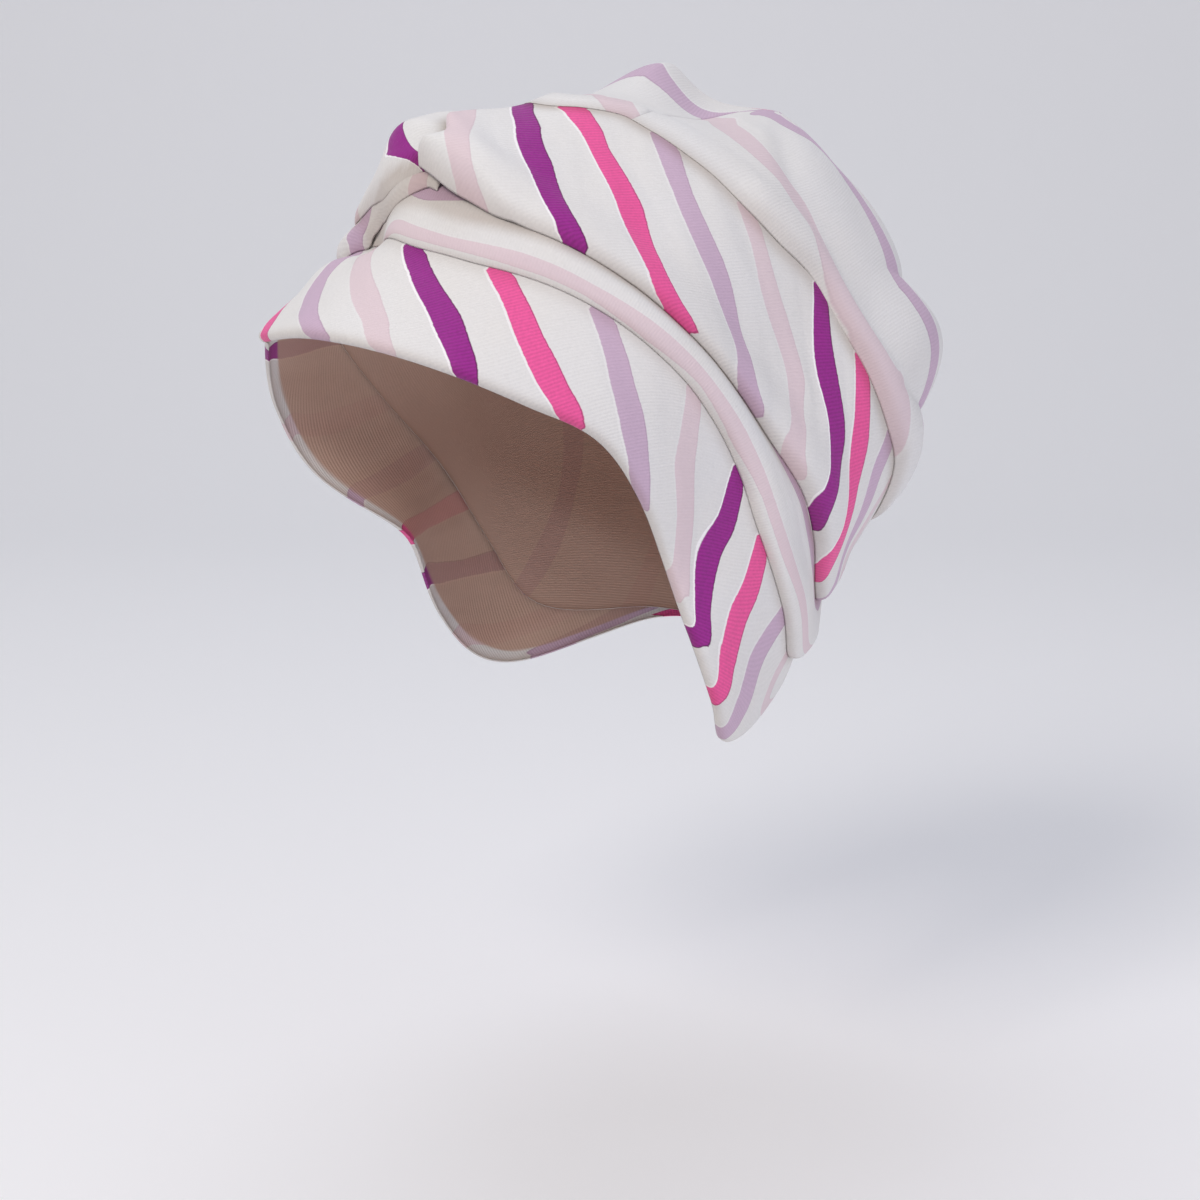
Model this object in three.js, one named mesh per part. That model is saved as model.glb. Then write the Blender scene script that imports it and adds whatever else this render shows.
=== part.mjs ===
// Pre-tied twist-front turban (chemo cap), millimetres, +Z up.
// +X is the wearer's left, -Y the wearer's front, and the origin is the centre of the head opening.
//
// Every layer of cloth is a shell over one rounded form. A place on the form is two angles: "turn",
// round the head from the front (0) over the wearer's left (90) to the back (180), and "rise", above
// the tilted plane of the opening (0) up to the apex (90).
import * as THREE from "three";

// ---- driving dimensions ---------------------------------------------------------------------
const OPENING_TILT = 40; // degrees that the plane of the opening is tipped up at the front
const WALL = 2.2; // thickness of one doubled layer of jersey
const GAP = 0.6; // clearance between one layer and the next
const LAYER = GAP + WALL;
const CROWN_CLEARANCE = 0.4; // the base cap lies this far inside the form
const TUCK = 3; // degrees that a layer runs on under the layer above it
const SETTLE = { from: 0.5, to: 3.5 }; // degrees past a tuck over which a layer steps down
const COLUMN_STEP = 7.5; // degrees of turn between the sections of a shell
const CENTRE_GAP = 0.3; // half the gap between the two crown folds down the middle
const SEAM_TURN = 179.7; // where the left and right folds and wraps stop, at the centre back
const END_ROUND = 2.5; // degrees over which the ends of a strip thin out
const EDGE_ROUND = 0.8; // degrees over which a folded edge rounds off
const FOLD_PUFF = 1.6; // how far the rolled folds stand off what they cover

// The right fold's end crosses the left one's between these turns.
const CROSSING = { from: -24, full: -15, end: 6, lift: 9 };
// The loop of the twist, the ridge on the right of the crown, and the gathers at the centre back.
const KNOT = { turn: -9, rise: 30, height: 15.5, turnSpread: 12, riseSpread: 10, clear: 7 };
const HUMP = { turn: 22, rise: 74, height: 22, turnSpread: 38, riseSpread: 8.5 };
const PLEATS = { rise: 42.5, step: 17.3, height: 10, from: 108, full: 146, clear: 9 };

// Radius of the wrapped form from the origin: a row for each rise, a column for each turn.
const FORM_TURNS = [-135, -90, -45, 0, 45, 90, 135, 180];
const FORM = [
  { rise: -40, radius: [122, 72, 112, 134, 98, 76, 124, 130] },
  { rise: -20, radius: [120, 78, 122, 139, 104, 80, 120, 131] },
  { rise: -8, radius: [116, 84, 121, 139, 109, 83, 114, 133] },
  { rise: 5, radius: [115, 90, 119, 130, 113, 89, 111, 133] },
  { rise: 15, radius: [118, 97, 117, 128, 115, 93, 112, 136] },
  { rise: 28, radius: [135, 108, 118, 145, 120, 103, 130, 149] },
  { rise: 43, radius: [157, 124, 134, 151, 130, 118, 153, 174] },
  { rise: 58, radius: [176, 148, 155, 160, 149, 142, 171, 191] },
  { rise: 75, radius: [187, 176, 174, 165, 169, 176, 184, 196] },
  { rise: 90, radius: [197, 197, 197, 197, 197, 197, 197, 197] },
];

// Rise of each fold line: the rim, then the lower edges of the folds, the wraps and the crown folds.
const LINES = [
  { turn: -180, rim: 8, fold: 14, wrap: 22, crown: 31 },
  { turn: -160, rim: 2, fold: 10, wrap: 20, crown: 30 },
  { turn: -138, rim: -23, fold: -2, wrap: 11, crown: 32.5 },
  { turn: -120, rim: -27, fold: 3, wrap: 17, crown: 39 },
  { turn: -95, rim: -26, fold: 10, wrap: 22, crown: 52 },
  { turn: -66, rim: -20, fold: 14, wrap: 25, crown: 56 },
  { turn: -50, rim: -11, fold: 15, wrap: 24, crown: 56 },
  { turn: -30, rim: -5, fold: 15, wrap: 22, crown: 54 },
  { turn: -15, rim: -8, fold: 15.4, wrap: 20, crown: 50 },
  { turn: -5, rim: -8, fold: 14.9, wrap: 18.7, crown: 46 },
  { turn: 5, rim: -7.3, fold: 14.7, wrap: 21.3, crown: 46 },
  { turn: 20, rim: -5.2, fold: 16.1, wrap: 22.7, crown: 54.5 },
  { turn: 40, rim: -2.2, fold: 19.9, wrap: 26.8, crown: 56 },
  { turn: 55, rim: 0, fold: 21, wrap: 28, crown: 55.5 },
  { turn: 70, rim: -3.3, fold: 21.2, wrap: 28.7, crown: 55.7 },
  { turn: 90, rim: -10.6, fold: 17.3, wrap: 26.5, crown: 55.3 },
  { turn: 108, rim: -19.2, fold: 9, wrap: 22.4, crown: 47.6 },
  { turn: 124, rim: -24.3, fold: 1.4, wrap: 17.2, crown: 38.7 },
  { turn: 138, rim: -24.8, fold: -3.6, wrap: 12.4, crown: 34.3 },
  { turn: 152, rim: -7, fold: 2, wrap: 12.5, crown: 30 },
  { turn: 165, rim: 4, fold: 10, wrap: 19, crown: 30 },
  { turn: 180, rim: 8, fold: 14, wrap: 22, crown: 31 },
];

// ---- form -----------------------------------------------------------------------------------
const rad = THREE.MathUtils.degToRad;
const FORWARD = new THREE.Vector3(0, -Math.cos(rad(OPENING_TILT)), Math.sin(rad(OPENING_TILT)));
const APEX = new THREE.Vector3(0, Math.sin(rad(OPENING_TILT)), Math.cos(rad(OPENING_TILT)));

const clamp01 = (x) => Math.min(1, Math.max(0, x));
const mix = THREE.MathUtils.lerp;
const ramp = THREE.MathUtils.smoothstep;
const bump = (x, centre, width) => Math.exp(-(((x - centre) / width) ** 2));

// A smooth curve through rows of numbers, by cubic pieces with the slopes of their neighbours.
function curveThrough(xs, ys, x) {
  const last = xs.length - 1;
  const at = Math.min(xs[last], Math.max(xs[0], x));
  let i = 0;
  while (i < last - 1 && at > xs[i + 1]) i += 1;
  const slope = (k) => {
    const a = Math.max(0, k - 1);
    const b = Math.min(last, k + 1);
    return (ys[b] - ys[a]) / (xs[b] - xs[a]);
  };
  const h = xs[i + 1] - xs[i];
  const s = (at - xs[i]) / h;
  const start = (2 * s ** 3 - 3 * s ** 2 + 1) * ys[i] + (s ** 3 - 2 * s ** 2 + s) * h * slope(i);
  const end = (3 * s ** 2 - 2 * s ** 3) * ys[i + 1] + (s ** 3 - s ** 2) * h * slope(i + 1);
  return start + end;
}

const wrapTurn = (turn) => ((((turn + 180) % 360) + 360) % 360) - 180;

function formRadius(turn, rise) {
  const place = (((turn + 135) % 360) + 360) % 360 / 45;
  const column = Math.floor(place);
  const s = place - column;
  const rises = FORM.map((row) => row.rise);
  const at = [-1, 0, 1, 2].map((step) => {
    const c = (column + step + 8) % 8;
    return curveThrough(rises, FORM.map((row) => row.radius[c]), rise);
  });
  return curveThrough([-1, 0, 1, 2], at, s);
}

function line(name, turn) {
  const turns = LINES.map((row) => row.turn);
  return curveThrough(turns, LINES.map((row) => row[name]), wrapTurn(turn));
}

function place(turn, rise, height) {
  const radius = formRadius(turn, rise) + height;
  const flat = radius * Math.cos(rad(rise));
  const point = new THREE.Vector3(flat * Math.sin(rad(turn)), 0, 0);
  point.addScaledVector(FORWARD, flat * Math.cos(rad(turn)));
  return point.addScaledVector(APEX, radius * Math.sin(rad(rise)));
}

// ---- heights of the layers above the form ---------------------------------------------------
// Each function gives the inner face of a layer; its outer face is one WALL further out.
// 0 where a layer still lies on the one whose upper edge it covers, 1 beyond that edge.
function pastEdge(rise, edge) {
  return ramp(rise, edge + TUCK + SETTLE.from, edge + TUCK + SETTLE.to);
}

// 0 at a fold line and 1 a given rise above it, so that a raised form leaves the edge lying flat.
const aboveEdge = (name, turn, rise, clear) => ramp(rise - line(name, turn), 0, clear);

const bandInner = () => GAP;

function foldPuff(turn, rise) {
  const low = line("fold", turn);
  const share = clamp01((rise - low) / (line("wrap", turn) - low));
  return FOLD_PUFF * Math.sin(Math.PI * share) * ramp(Math.abs(turn), 10, 60);
}

function foldLeftInner(turn, rise) {
  return LAYER * (1 - pastEdge(rise, line("fold", turn))) + GAP + foldPuff(turn, rise);
}

// The right fold crosses over the end of the left one, and leaves it along a rising edge.
const foldRightLow = (turn) => line("fold", turn) + CROSSING.lift * ramp(turn, -13, CROSSING.end);

function foldRightInner(turn, rise) {
  return foldLeftInner(turn, rise) + (LAYER + GAP) * ramp(turn, CROSSING.from, CROSSING.full);
}

function wrapRightInner(turn, rise) {
  const below = (foldRightInner(turn, rise) + WALL) * (1 - pastEdge(rise, line("wrap", turn)));
  const loop = bump(turn, KNOT.turn, KNOT.turnSpread) * bump(rise, KNOT.rise, KNOT.riseSpread);
  return below + GAP + KNOT.height * loop * aboveEdge("wrap", turn, rise, KNOT.clear);
}

// The left wrap laps over the front end of the right one.
function wrapLeftInner(turn, rise) {
  const below = (foldLeftInner(turn, rise) + WALL) * (1 - pastEdge(rise, line("wrap", turn)));
  const lapped = wrapRightInner(turn, rise) + LAYER + 3 * GAP;
  return mix(lapped, below + GAP, ramp(turn, 7, 22));
}

// 0 at the seam down the middle of the crown, 1 a short way off it.
function nearSeam(turn, rise) {
  return clamp01(7 * Math.abs(Math.sin(rad(turn))) * Math.cos(rad(rise)));
}

function gathers(turn, rise) {
  const share = ((rise - PLEATS.rise + 10 * PLEATS.step) % PLEATS.step) / PLEATS.step;
  const pleat = Math.sin(Math.PI * share) ** 0.7;
  const back = ramp(Math.abs(turn), PLEATS.from, PLEATS.full);
  const free = aboveEdge("crown", turn, rise, PLEATS.clear);
  return PLEATS.height * pleat * back * free * nearSeam(turn, rise);
}

function crownFoldLeftInner(turn, rise) {
  const below = (wrapLeftInner(turn, rise) + WALL) * (1 - pastEdge(rise, line("crown", turn)));
  return below + GAP + gathers(turn, rise);
}

function crownFoldRightInner(turn, rise) {
  const below = (wrapRightInner(turn, rise) + WALL) * (1 - pastEdge(rise, line("crown", turn)));
  const across = bump(-turn, HUMP.turn, HUMP.turnSpread);
  const hump = HUMP.height * across * bump(rise, HUMP.rise, HUMP.riseSpread);
  return below + GAP + gathers(turn, rise) + hump * nearSeam(turn, rise);
}

// ---- shells ---------------------------------------------------------------------------------
// The turns at which a shell has sections: its ends, two close to each, and the regular ones.
function sectionTurns(from, to, closed) {
  if (closed) return Array.from({ length: 360 / COLUMN_STEP }, (_, i) => from + i * COLUMN_STEP);
  const turns = [from, from + END_ROUND / 3, from + END_ROUND];
  const first = Math.ceil((from + END_ROUND + 1) / COLUMN_STEP) * COLUMN_STEP;
  for (let turn = first; turn < to - END_ROUND - 1; turn += COLUMN_STEP) turns.push(turn);
  return [...turns, to - END_ROUND, to - END_ROUND / 3, to];
}

// The rises of a section's points: close together at the folded lower edge and where the layer
// steps down off the one that it covers, then even up to the upper edge.
function sectionRises(low, high, rows) {
  const fit = Math.min(1, (high - low) / (TUCK + SETTLE.to + 1));
  const steps = [0, EDGE_ROUND, TUCK + SETTLE.from, TUCK + SETTLE.to];
  const edge = steps.map((step) => low + step * fit);
  const rest = Array.from({ length: rows }, (_, i) => mix(edge[3], high, (i + 1) / rows));
  return [...edge, ...rest];
}

// A closed shell between two fold lines. Its sections run round the head, each with an outer and an
// inner row of points. `side` keeps a piece on its own side of the middle of the crown.
function shell({ from, to, low, high, inner, rows, closed = false, side = 0 }) {
  const facePoint = (turn, rise, thickness) => {
    const point = place(turn, rise, inner(turn, rise) + thickness);
    if (side > 0) point.x = Math.max(point.x, CENTRE_GAP);
    if (side < 0) point.x = Math.min(point.x, -CENTRE_GAP);
    return point;
  };
  const sections = sectionTurns(from, to, closed).map((turn) => {
    const rises = sectionRises(low(turn), high(turn), rows);
    const end = closed ? 1 : Math.min(1, 0.4 + Math.min(turn - from, to - turn) / END_ROUND);
    const outer = rises.map((rise, j) => facePoint(turn, rise, WALL * end * (j === 0 ? 0.5 : 1)));
    return [...outer, ...rises.map((rise) => facePoint(turn, rise, 0)).reverse()];
  });
  return closedBody(sections, closed);
}

// Joins the sections into one closed surface, welding points that fall together.
function closedBody(sections, closed) {
  const positions = [];
  const seen = new Map();
  const indexOf = (point) => {
    const key = point.toArray().map((value) => value.toFixed(2)).join();
    if (!seen.has(key)) {
      seen.set(key, positions.length / 3);
      positions.push(...point.toArray());
    }
    return seen.get(key);
  };
  const rings = sections.map((section) => section.map(indexOf));
  const faces = [];
  const addFace = (a, b, c) => {
    if (a !== b && b !== c && a !== c) faces.push(a, b, c);
  };
  const addQuad = (a, b, c, d) => {
    addFace(a, b, c);
    addFace(a, c, d);
  };
  const size = rings[0].length;
  const strips = closed ? rings.length : rings.length - 1;
  for (let i = 0; i < strips; i += 1) {
    const here = rings[i];
    const next = rings[(i + 1) % rings.length];
    for (let j = 0; j < size; j += 1) {
      const k = (j + 1) % size;
      addQuad(here[j], next[j], next[k], here[k]);
    }
  }
  if (!closed) {
    const first = rings[0];
    const last = rings[rings.length - 1];
    for (let j = 0; j < size / 2 - 1; j += 1) {
      addQuad(first[j], first[j + 1], first[size - 2 - j], first[size - 1 - j]);
      addQuad(last[j + 1], last[j], last[size - 1 - j], last[size - 2 - j]);
    }
  }
  const geometry = new THREE.BufferGeometry();
  geometry.setAttribute("position", new THREE.Float32BufferAttribute(positions, 3));
  geometry.setIndex(faces);
  geometry.computeVertexNormals();
  return geometry;
}

// ---- pieces ---------------------------------------------------------------------------------
const CREAM = "#e9e5e1";
const ROSE_CREAM = "#eadfe3";
const foldLine = (name, extra = 0) => (turn) => line(name, turn) + extra;

const crown = {
  name: "crown",
  color: CREAM,
  geometry: shell({
    from: -180,
    to: 180,
    closed: true,
    rows: 14,
    low: foldLine("fold", -2 * TUCK),
    high: () => 90,
    inner: () => -WALL - CROWN_CLEARANCE,
  }),
};

const brimBand = {
  name: "brim_band",
  color: CREAM,
  geometry: shell({
    from: -180,
    to: 180,
    closed: true,
    rows: 4,
    low: foldLine("rim"),
    high: foldLine("fold", TUCK),
    inner: bandInner,
  }),
};

const foldLeft = {
  name: "fold_left",
  color: ROSE_CREAM,
  geometry: shell({
    from: -CROSSING.end,
    to: SEAM_TURN,
    rows: 3,
    low: foldLine("fold"),
    high: foldLine("wrap", TUCK),
    inner: foldLeftInner,
  }),
};

const foldRight = {
  name: "fold_right",
  color: ROSE_CREAM,
  geometry: shell({
    from: -SEAM_TURN,
    to: CROSSING.end,
    rows: 3,
    low: foldRightLow,
    high: foldLine("wrap", TUCK),
    inner: foldRightInner,
  }),
};

const wrapRight = {
  name: "wrap_right",
  color: CREAM,
  geometry: shell({
    from: -SEAM_TURN,
    to: 6,
    rows: 5,
    low: foldLine("wrap"),
    high: (turn) => line("crown", turn) + mix(TUCK, -TUCK, ramp(turn, -6, 0)),
    inner: wrapRightInner,
  }),
};

const wrapLeft = {
  name: "wrap_left",
  color: CREAM,
  geometry: shell({
    from: 2,
    to: SEAM_TURN,
    rows: 5,
    low: (turn) => line("wrap", turn) + 5 * (1 - ramp(turn, 1, 8)),
    high: foldLine("crown", TUCK),
    inner: wrapLeftInner,
  }),
};

const crownFoldLeft = {
  name: "crown_fold_left",
  color: CREAM,
  geometry: shell({
    from: 0,
    to: 180,
    side: 1,
    rows: 9,
    low: foldLine("crown"),
    high: () => 90,
    inner: crownFoldLeftInner,
  }),
};

const crownFoldRight = {
  name: "crown_fold_right",
  color: CREAM,
  geometry: shell({
    from: -180,
    to: 0,
    side: -1,
    rows: 9,
    low: foldLine("crown"),
    high: () => 90,
    inner: crownFoldRightInner,
  }),
};

const cap = new THREE.Group();
for (const { name, color, geometry } of [
  crown,
  brimBand,
  foldLeft,
  foldRight,
  wrapRight,
  wrapLeft,
  crownFoldLeft,
  crownFoldRight,
]) {
  const material = new THREE.MeshStandardMaterial({ color, roughness: 0.85, metalness: 0 });
  const mesh = new THREE.Mesh(geometry, material);
  mesh.name = name;
  cap.add(mesh);
}

export default cap;
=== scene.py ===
"""Looks of a pre-tied twist-front chemo cap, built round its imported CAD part.

Every layer of cloth is a shell over one rounded form. A place on the form is two angles: the turn,
round the head from the front (0) over the wearer's left (90) to the back (180), and the rise, above
the tilted plane of the opening (0) up to the apex (90). Sizes are in millimetres and become metres
only where a mesh is written.
"""

import logging
import math
from collections.abc import Callable, Sequence
from dataclasses import dataclass, field
from enum import Enum
from functools import partial
from typing import Any

import bpy
import numpy as np
from mathutils import Matrix, Vector


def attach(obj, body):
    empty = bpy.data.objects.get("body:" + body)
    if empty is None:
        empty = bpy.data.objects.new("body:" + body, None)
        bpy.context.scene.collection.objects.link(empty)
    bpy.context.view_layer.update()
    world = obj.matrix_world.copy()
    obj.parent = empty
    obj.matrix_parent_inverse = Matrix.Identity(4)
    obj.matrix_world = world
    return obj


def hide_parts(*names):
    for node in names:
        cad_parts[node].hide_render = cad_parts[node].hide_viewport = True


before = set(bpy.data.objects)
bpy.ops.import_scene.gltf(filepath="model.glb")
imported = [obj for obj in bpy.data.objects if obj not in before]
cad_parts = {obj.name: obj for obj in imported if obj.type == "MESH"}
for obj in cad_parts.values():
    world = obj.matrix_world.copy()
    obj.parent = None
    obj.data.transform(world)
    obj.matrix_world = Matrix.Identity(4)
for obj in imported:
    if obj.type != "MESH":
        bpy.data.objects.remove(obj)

LOG = logging.getLogger("chemo_cap")
MM = 0.001
DEGREE = math.radians(1.0)
APEX = 90.0
# Points that fall on the same step of this grid, in metres, are welded.
WELD = 2e-6
# Shares of a rounded edge's width where its rows lie, close together at the very edge.
EDGE_STEPS = (0.0, 0.04, 0.15, 0.33, 0.6)
Array = np.ndarray
AddNode = Callable[..., bpy.types.Node]


# ---- plain helpers --------------------------------------------------------------------------
def clamp01(x: Array) -> Array:
    """Return x held between 0 and 1."""
    return np.clip(x, 0.0, 1.0)


def mix(a: Array, b: Array, share: Array) -> Array:
    """Return the value that is the given share of the way from a to b."""
    return a + (b - a) * share


def ramp(x: Array, low: float, high: float) -> Array:
    """Return a smooth step from 0 at low to 1 at high."""
    s = clamp01((np.asarray(x, float) - low) / (high - low))
    return s * s * (3 - 2 * s)


def bump(x: Array, centre: float, width: float) -> Array:
    """Return a bell of height 1 round a centre."""
    return np.exp(-(((x - centre) / width) ** 2))


def wrap_turn(turn: Array) -> Array:
    """Return a turn brought into -180 to 180 degrees."""
    return (np.asarray(turn, float) + 180.0) % 360.0 - 180.0


def curve_through(xs: Sequence[float], ys: Array, x: Array) -> Array:
    """Run a smooth curve through rows of numbers.

    Args:
        xs: Rising positions of the rows.
        ys: One value, or one row of values, for each position.
        x: Where to read the curve; held inside the first and last position.

    Returns:
        The curve's value, or row of values, at each x.
    """
    xs, ys = np.asarray(xs, float), np.asarray(ys, float)
    x = np.clip(np.asarray(x, float), xs[0], xs[-1])
    last = len(xs) - 1
    before, after = np.maximum(np.arange(last + 1) - 1, 0), np.minimum(np.arange(last + 1) + 1, last)
    spread = (xs[after] - xs[before]).reshape((-1,) + (1,) * (ys.ndim - 1))
    slope = (ys[after] - ys[before]) / spread
    i = np.clip(np.searchsorted(xs, x, side="left") - 1, 0, last - 1)
    shape = x.shape + (1,) * (ys.ndim - 1)
    h = (xs[i + 1] - xs[i]).reshape(shape)
    s = ((x - xs[i]) / (xs[i + 1] - xs[i])).reshape(shape)
    start = (2 * s**3 - 3 * s**2 + 1) * ys[i] + (s**3 - 2 * s**2 + s) * h * slope[i]
    end = (3 * s**2 - 2 * s**3) * ys[i + 1] + (s**3 - s**2) * h * slope[i + 1]
    return start + end


def linear(colour: str, alpha: float = 1.0) -> tuple[float, float, float, float]:
    """Turn an sRGB hex colour into linear light.

    Args:
        colour: The colour as "#rrggbb".
        alpha: The fourth number of the result.

    Returns:
        Red, green, blue and alpha, as a shader takes them.
    """
    parts = [int(colour[i : i + 2], 16) / 255 for i in (1, 3, 5)]
    light = [c / 12.92 if c <= 0.04045 else ((c + 0.055) / 1.055) ** 2.4 for c in parts]
    return (*light, alpha)


# ---- the wrapped form -----------------------------------------------------------------------
class Line(Enum):
    """A fold line of the form, by its column in the form's table of lines."""

    RIM = 1
    FOLD = 2
    WRAP = 3
    CROWN = 4


@dataclass(frozen=True)
class Slope:
    """A smooth step of a given size between two places."""

    size: float
    start: float
    stop: float

    def at(self, x: Array) -> Array:
        """Return how much of the step is done at x."""
        return self.size * ramp(x, self.start, self.stop)


@dataclass(frozen=True)
class Hill:
    """A bell of a given size round a place."""

    size: float
    centre: float
    width: float

    def at(self, x: Array) -> Array:
        """Return the bell's height at x."""
        return self.size * bump(x, self.centre, self.width)


@dataclass(frozen=True)
class Curl:
    """An edge that bends away from its line, faster and faster, over a span of turns."""

    size: float
    start: float
    span: float
    power: float = 1.6

    def at(self, turn: Array) -> Array:
        """Return how far the edge has left its line."""
        return self.size * clamp01((np.asarray(turn, float) - self.start) / self.span) ** self.power


@dataclass(frozen=True)
class Swell:
    """A bell over both the turn and the rise, or a dent where its height is below 0."""

    turn: float
    turn_width: float
    rise: float
    rise_width: float
    height: float

    def at(self, turn: Array, rise: Array) -> Array:
        """Return the swell's height at a turn and rise."""
        return self.height * bump(turn, self.turn, self.turn_width) * bump(rise, self.rise, self.rise_width)


@dataclass(frozen=True)
class WrappedForm:
    """The rounded form under the layers, and the fold lines on it."""

    tilt: float = 40.0
    mean_radius: float = 120.0
    wall: float = 2.2
    gap: float = 0.6
    crown_clearance: float = 0.4
    tuck: float = 3.0
    settle_from: float = 0.5
    settle_to: float = 9.0
    quick_to: float = 5.5
    slow_wave: float = 0.8
    quick_wave: float = 0.3
    # The front end of the left wrap: its turn, and how far and where it draws back.
    front_turn: float = 0.5
    front_back: float = 3.5
    front_rise: float = 28.5
    front_width: float = 2.5
    # The folds swell over the wearer's right brow and draw in on both sides of it.
    swells: tuple[Swell, ...] = (
        Swell(turn=-22.0, turn_width=8.0, rise=11.0, rise_width=5.5, height=3.5),
        Swell(turn=-15.0, turn_width=9.0, rise=19.5, rise_width=5.0, height=-9.0),
        Swell(turn=-10.0, turn_width=7.0, rise=-3.0, rise_width=5.5, height=-2.2),
    )
    rises: tuple[float, ...] = (-40, -20, -8, 5, 15, 28, 43, 58, 75, 90)
    # Radius at each rise, for turns -135, -90, -45, 0, 45, 90, 135 and 180.
    radii: tuple[tuple[float, ...], ...] = (
        (122, 72, 112, 134, 98, 76, 124, 130),
        (120, 78, 122, 139, 104, 80, 120, 131),
        (116, 84, 121, 139, 109, 83, 114, 133),
        (115, 90, 119, 130, 113, 89, 111, 133),
        (118, 97, 117, 128, 115, 93, 112, 136),
        (135, 108, 118, 145, 120, 103, 130, 149),
        (157, 124, 134, 151, 130, 118, 153, 174),
        (176, 148, 155, 160, 149, 142, 171, 191),
        (187, 176, 174, 165, 169, 176, 184, 196),
        (197, 197, 197, 197, 197, 197, 197, 197),
    )
    # Rise of each fold line: the rim, then the lower edges of the folds, the wraps and the crown folds.
    lines: tuple[tuple[float, ...], ...] = (
        (-180, 8, 14, 22, 31),
        (-160, 2, 10, 20, 30),
        (-138, -23, -2, 11, 32.5),
        (-120, -27, 3, 17, 39),
        (-95, -26, 10, 22, 52),
        (-66, -20, 14, 25, 56),
        (-50, -11, 15, 24, 56),
        (-30, -5, 16.8, 22, 54),
        (-22, -6.6, 19.0, 21.3, 52),
        (-15, -8, 19.2, 20.6, 50),
        (-5, -8, 16.8, 21.2, 46),
        (5, -7.3, 15.1, 21.4, 46),
        (12, -6.4, 15.3, 21.2, 50),
        (20, -5.2, 16.1, 22.7, 54.5),
        (40, -2.2, 19.9, 26.8, 56),
        (55, 0, 21, 28, 55.5),
        (70, -3.3, 21.2, 28.7, 55.7),
        (90, -10.6, 17.3, 26.5, 55.3),
        (108, -19.2, 9, 22.4, 47.6),
        (124, -24.3, 1.4, 17.2, 38.7),
        (138, -24.8, -3.6, 12.4, 34.3),
        (152, -7, 2, 12.5, 30),
        (165, 4, 10, 19, 30),
        (180, 8, 14, 22, 31),
    )

    @property
    def layer(self) -> float:
        """Return the height that one layer and its clearance add."""
        return self.gap + self.wall

    def radius(self, turn: Array, rise: Array) -> Array:
        """Work out the form's radius from the origin.

        Args:
            turn: The turn of each place.
            rise: The rise of each place.

        Returns:
            The radius in millimetres, on a smooth surface through the table of radii.
        """
        turn, rise = np.broadcast_arrays(np.asarray(turn, float), np.asarray(rise, float))
        shape, turn, rise = turn.shape, turn.ravel(), rise.ravel()
        rows = curve_through(self.rises, np.array(self.radii, float), rise)
        place = ((turn + 135.0) % 360.0) / 45.0
        column = np.floor(place).astype(int)
        s, every = place - column, np.arange(len(turn))
        before, a, b, after = (rows[every, (column + step) % 8] for step in (-1, 0, 1, 2))
        out = (2 * s**3 - 3 * s**2 + 1) * a + (s**3 - 2 * s**2 + s) * (b - before) / 2
        out = out + (3 * s**2 - 2 * s**3) * b + (s**3 - s**2) * (after - a) / 2
        return out.reshape(shape)

    def line(self, line: Line, turn: Array) -> Array:
        """Return the rise of a fold line at each turn."""
        rows = np.array(self.lines, float)
        return curve_through(rows[:, 0], rows[:, line.value], wrap_turn(turn))

    def share(self, low: Line, high: Line, turn: Array, rise: Array) -> Array:
        """Return how far a place lies from one fold line towards another."""
        a, b = self.line(low, turn), self.line(high, turn)
        return (rise - a) / (b - a)

    def drape(self, turn: Array, rise: Array) -> Array:
        """Work out the slack that all layers share, so that they stay clear of each other.

        Args:
            turn: The turn of each place.
            rise: The rise of each place.

        Returns:
            How far the cloth stands off the form: two sets of waves that never line up, which
            die out at the apex, and the swells.
        """
        t, r = np.radians(turn), np.radians(rise)
        slow = self.slow_wave * np.sin(5 * t + 2.1 * np.sin(3 * r + 0.6)) * np.cos(4 * r + 0.8)
        quick = self.quick_wave * np.sin(11 * t - 6 * r + 1.9) * np.sin(7 * r + 3 * t)
        off = (slow + quick) * np.cos(r)
        for swell in self.swells:
            off = off + swell.at(turn, rise)
        return off

    def front_end(self, rise: Array) -> Array:
        """Return the turn of the left wrap's front end, which draws back above the loop."""
        back = bump(np.asarray(rise, float), self.front_rise, self.front_width)
        return self.front_turn + self.front_back * back

    def place(self, turn: Array, rise: Array, height: Array) -> Array:
        """Turn places on the form into points.

        Args:
            turn: The turn of each place.
            rise: The rise of each place.
            height: The height of each place above the form.

        Returns:
            The points in millimetres, in the part's own frame.
        """
        turn, rise, height = np.broadcast_arrays(turn, rise, height)
        tau, t, r = math.radians(self.tilt), np.radians(turn), np.radians(rise)
        forward = np.array([0.0, -math.cos(tau), math.sin(tau)])
        apex = np.array([0.0, math.sin(tau), math.cos(tau)])
        radius = self.radius(turn, rise) + height + self.drape(turn, rise)
        flat = radius * np.cos(r)
        across = (flat * np.sin(t))[..., None] * np.array([1.0, 0.0, 0.0])
        ahead = (flat * np.cos(t))[..., None] * forward
        return across + ahead + (radius * np.sin(r))[..., None] * apex

    def past_edge(self, rise: Array, edge: Array, quick: bool = False) -> Array:
        """Return 0 where a layer lies on the one whose edge it covers, and 1 beyond that edge."""
        reach = (self.quick_to if quick else self.settle_to) - self.settle_from
        return ramp(rise - (edge + self.tuck + self.settle_from), 0.0, reach)


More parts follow.
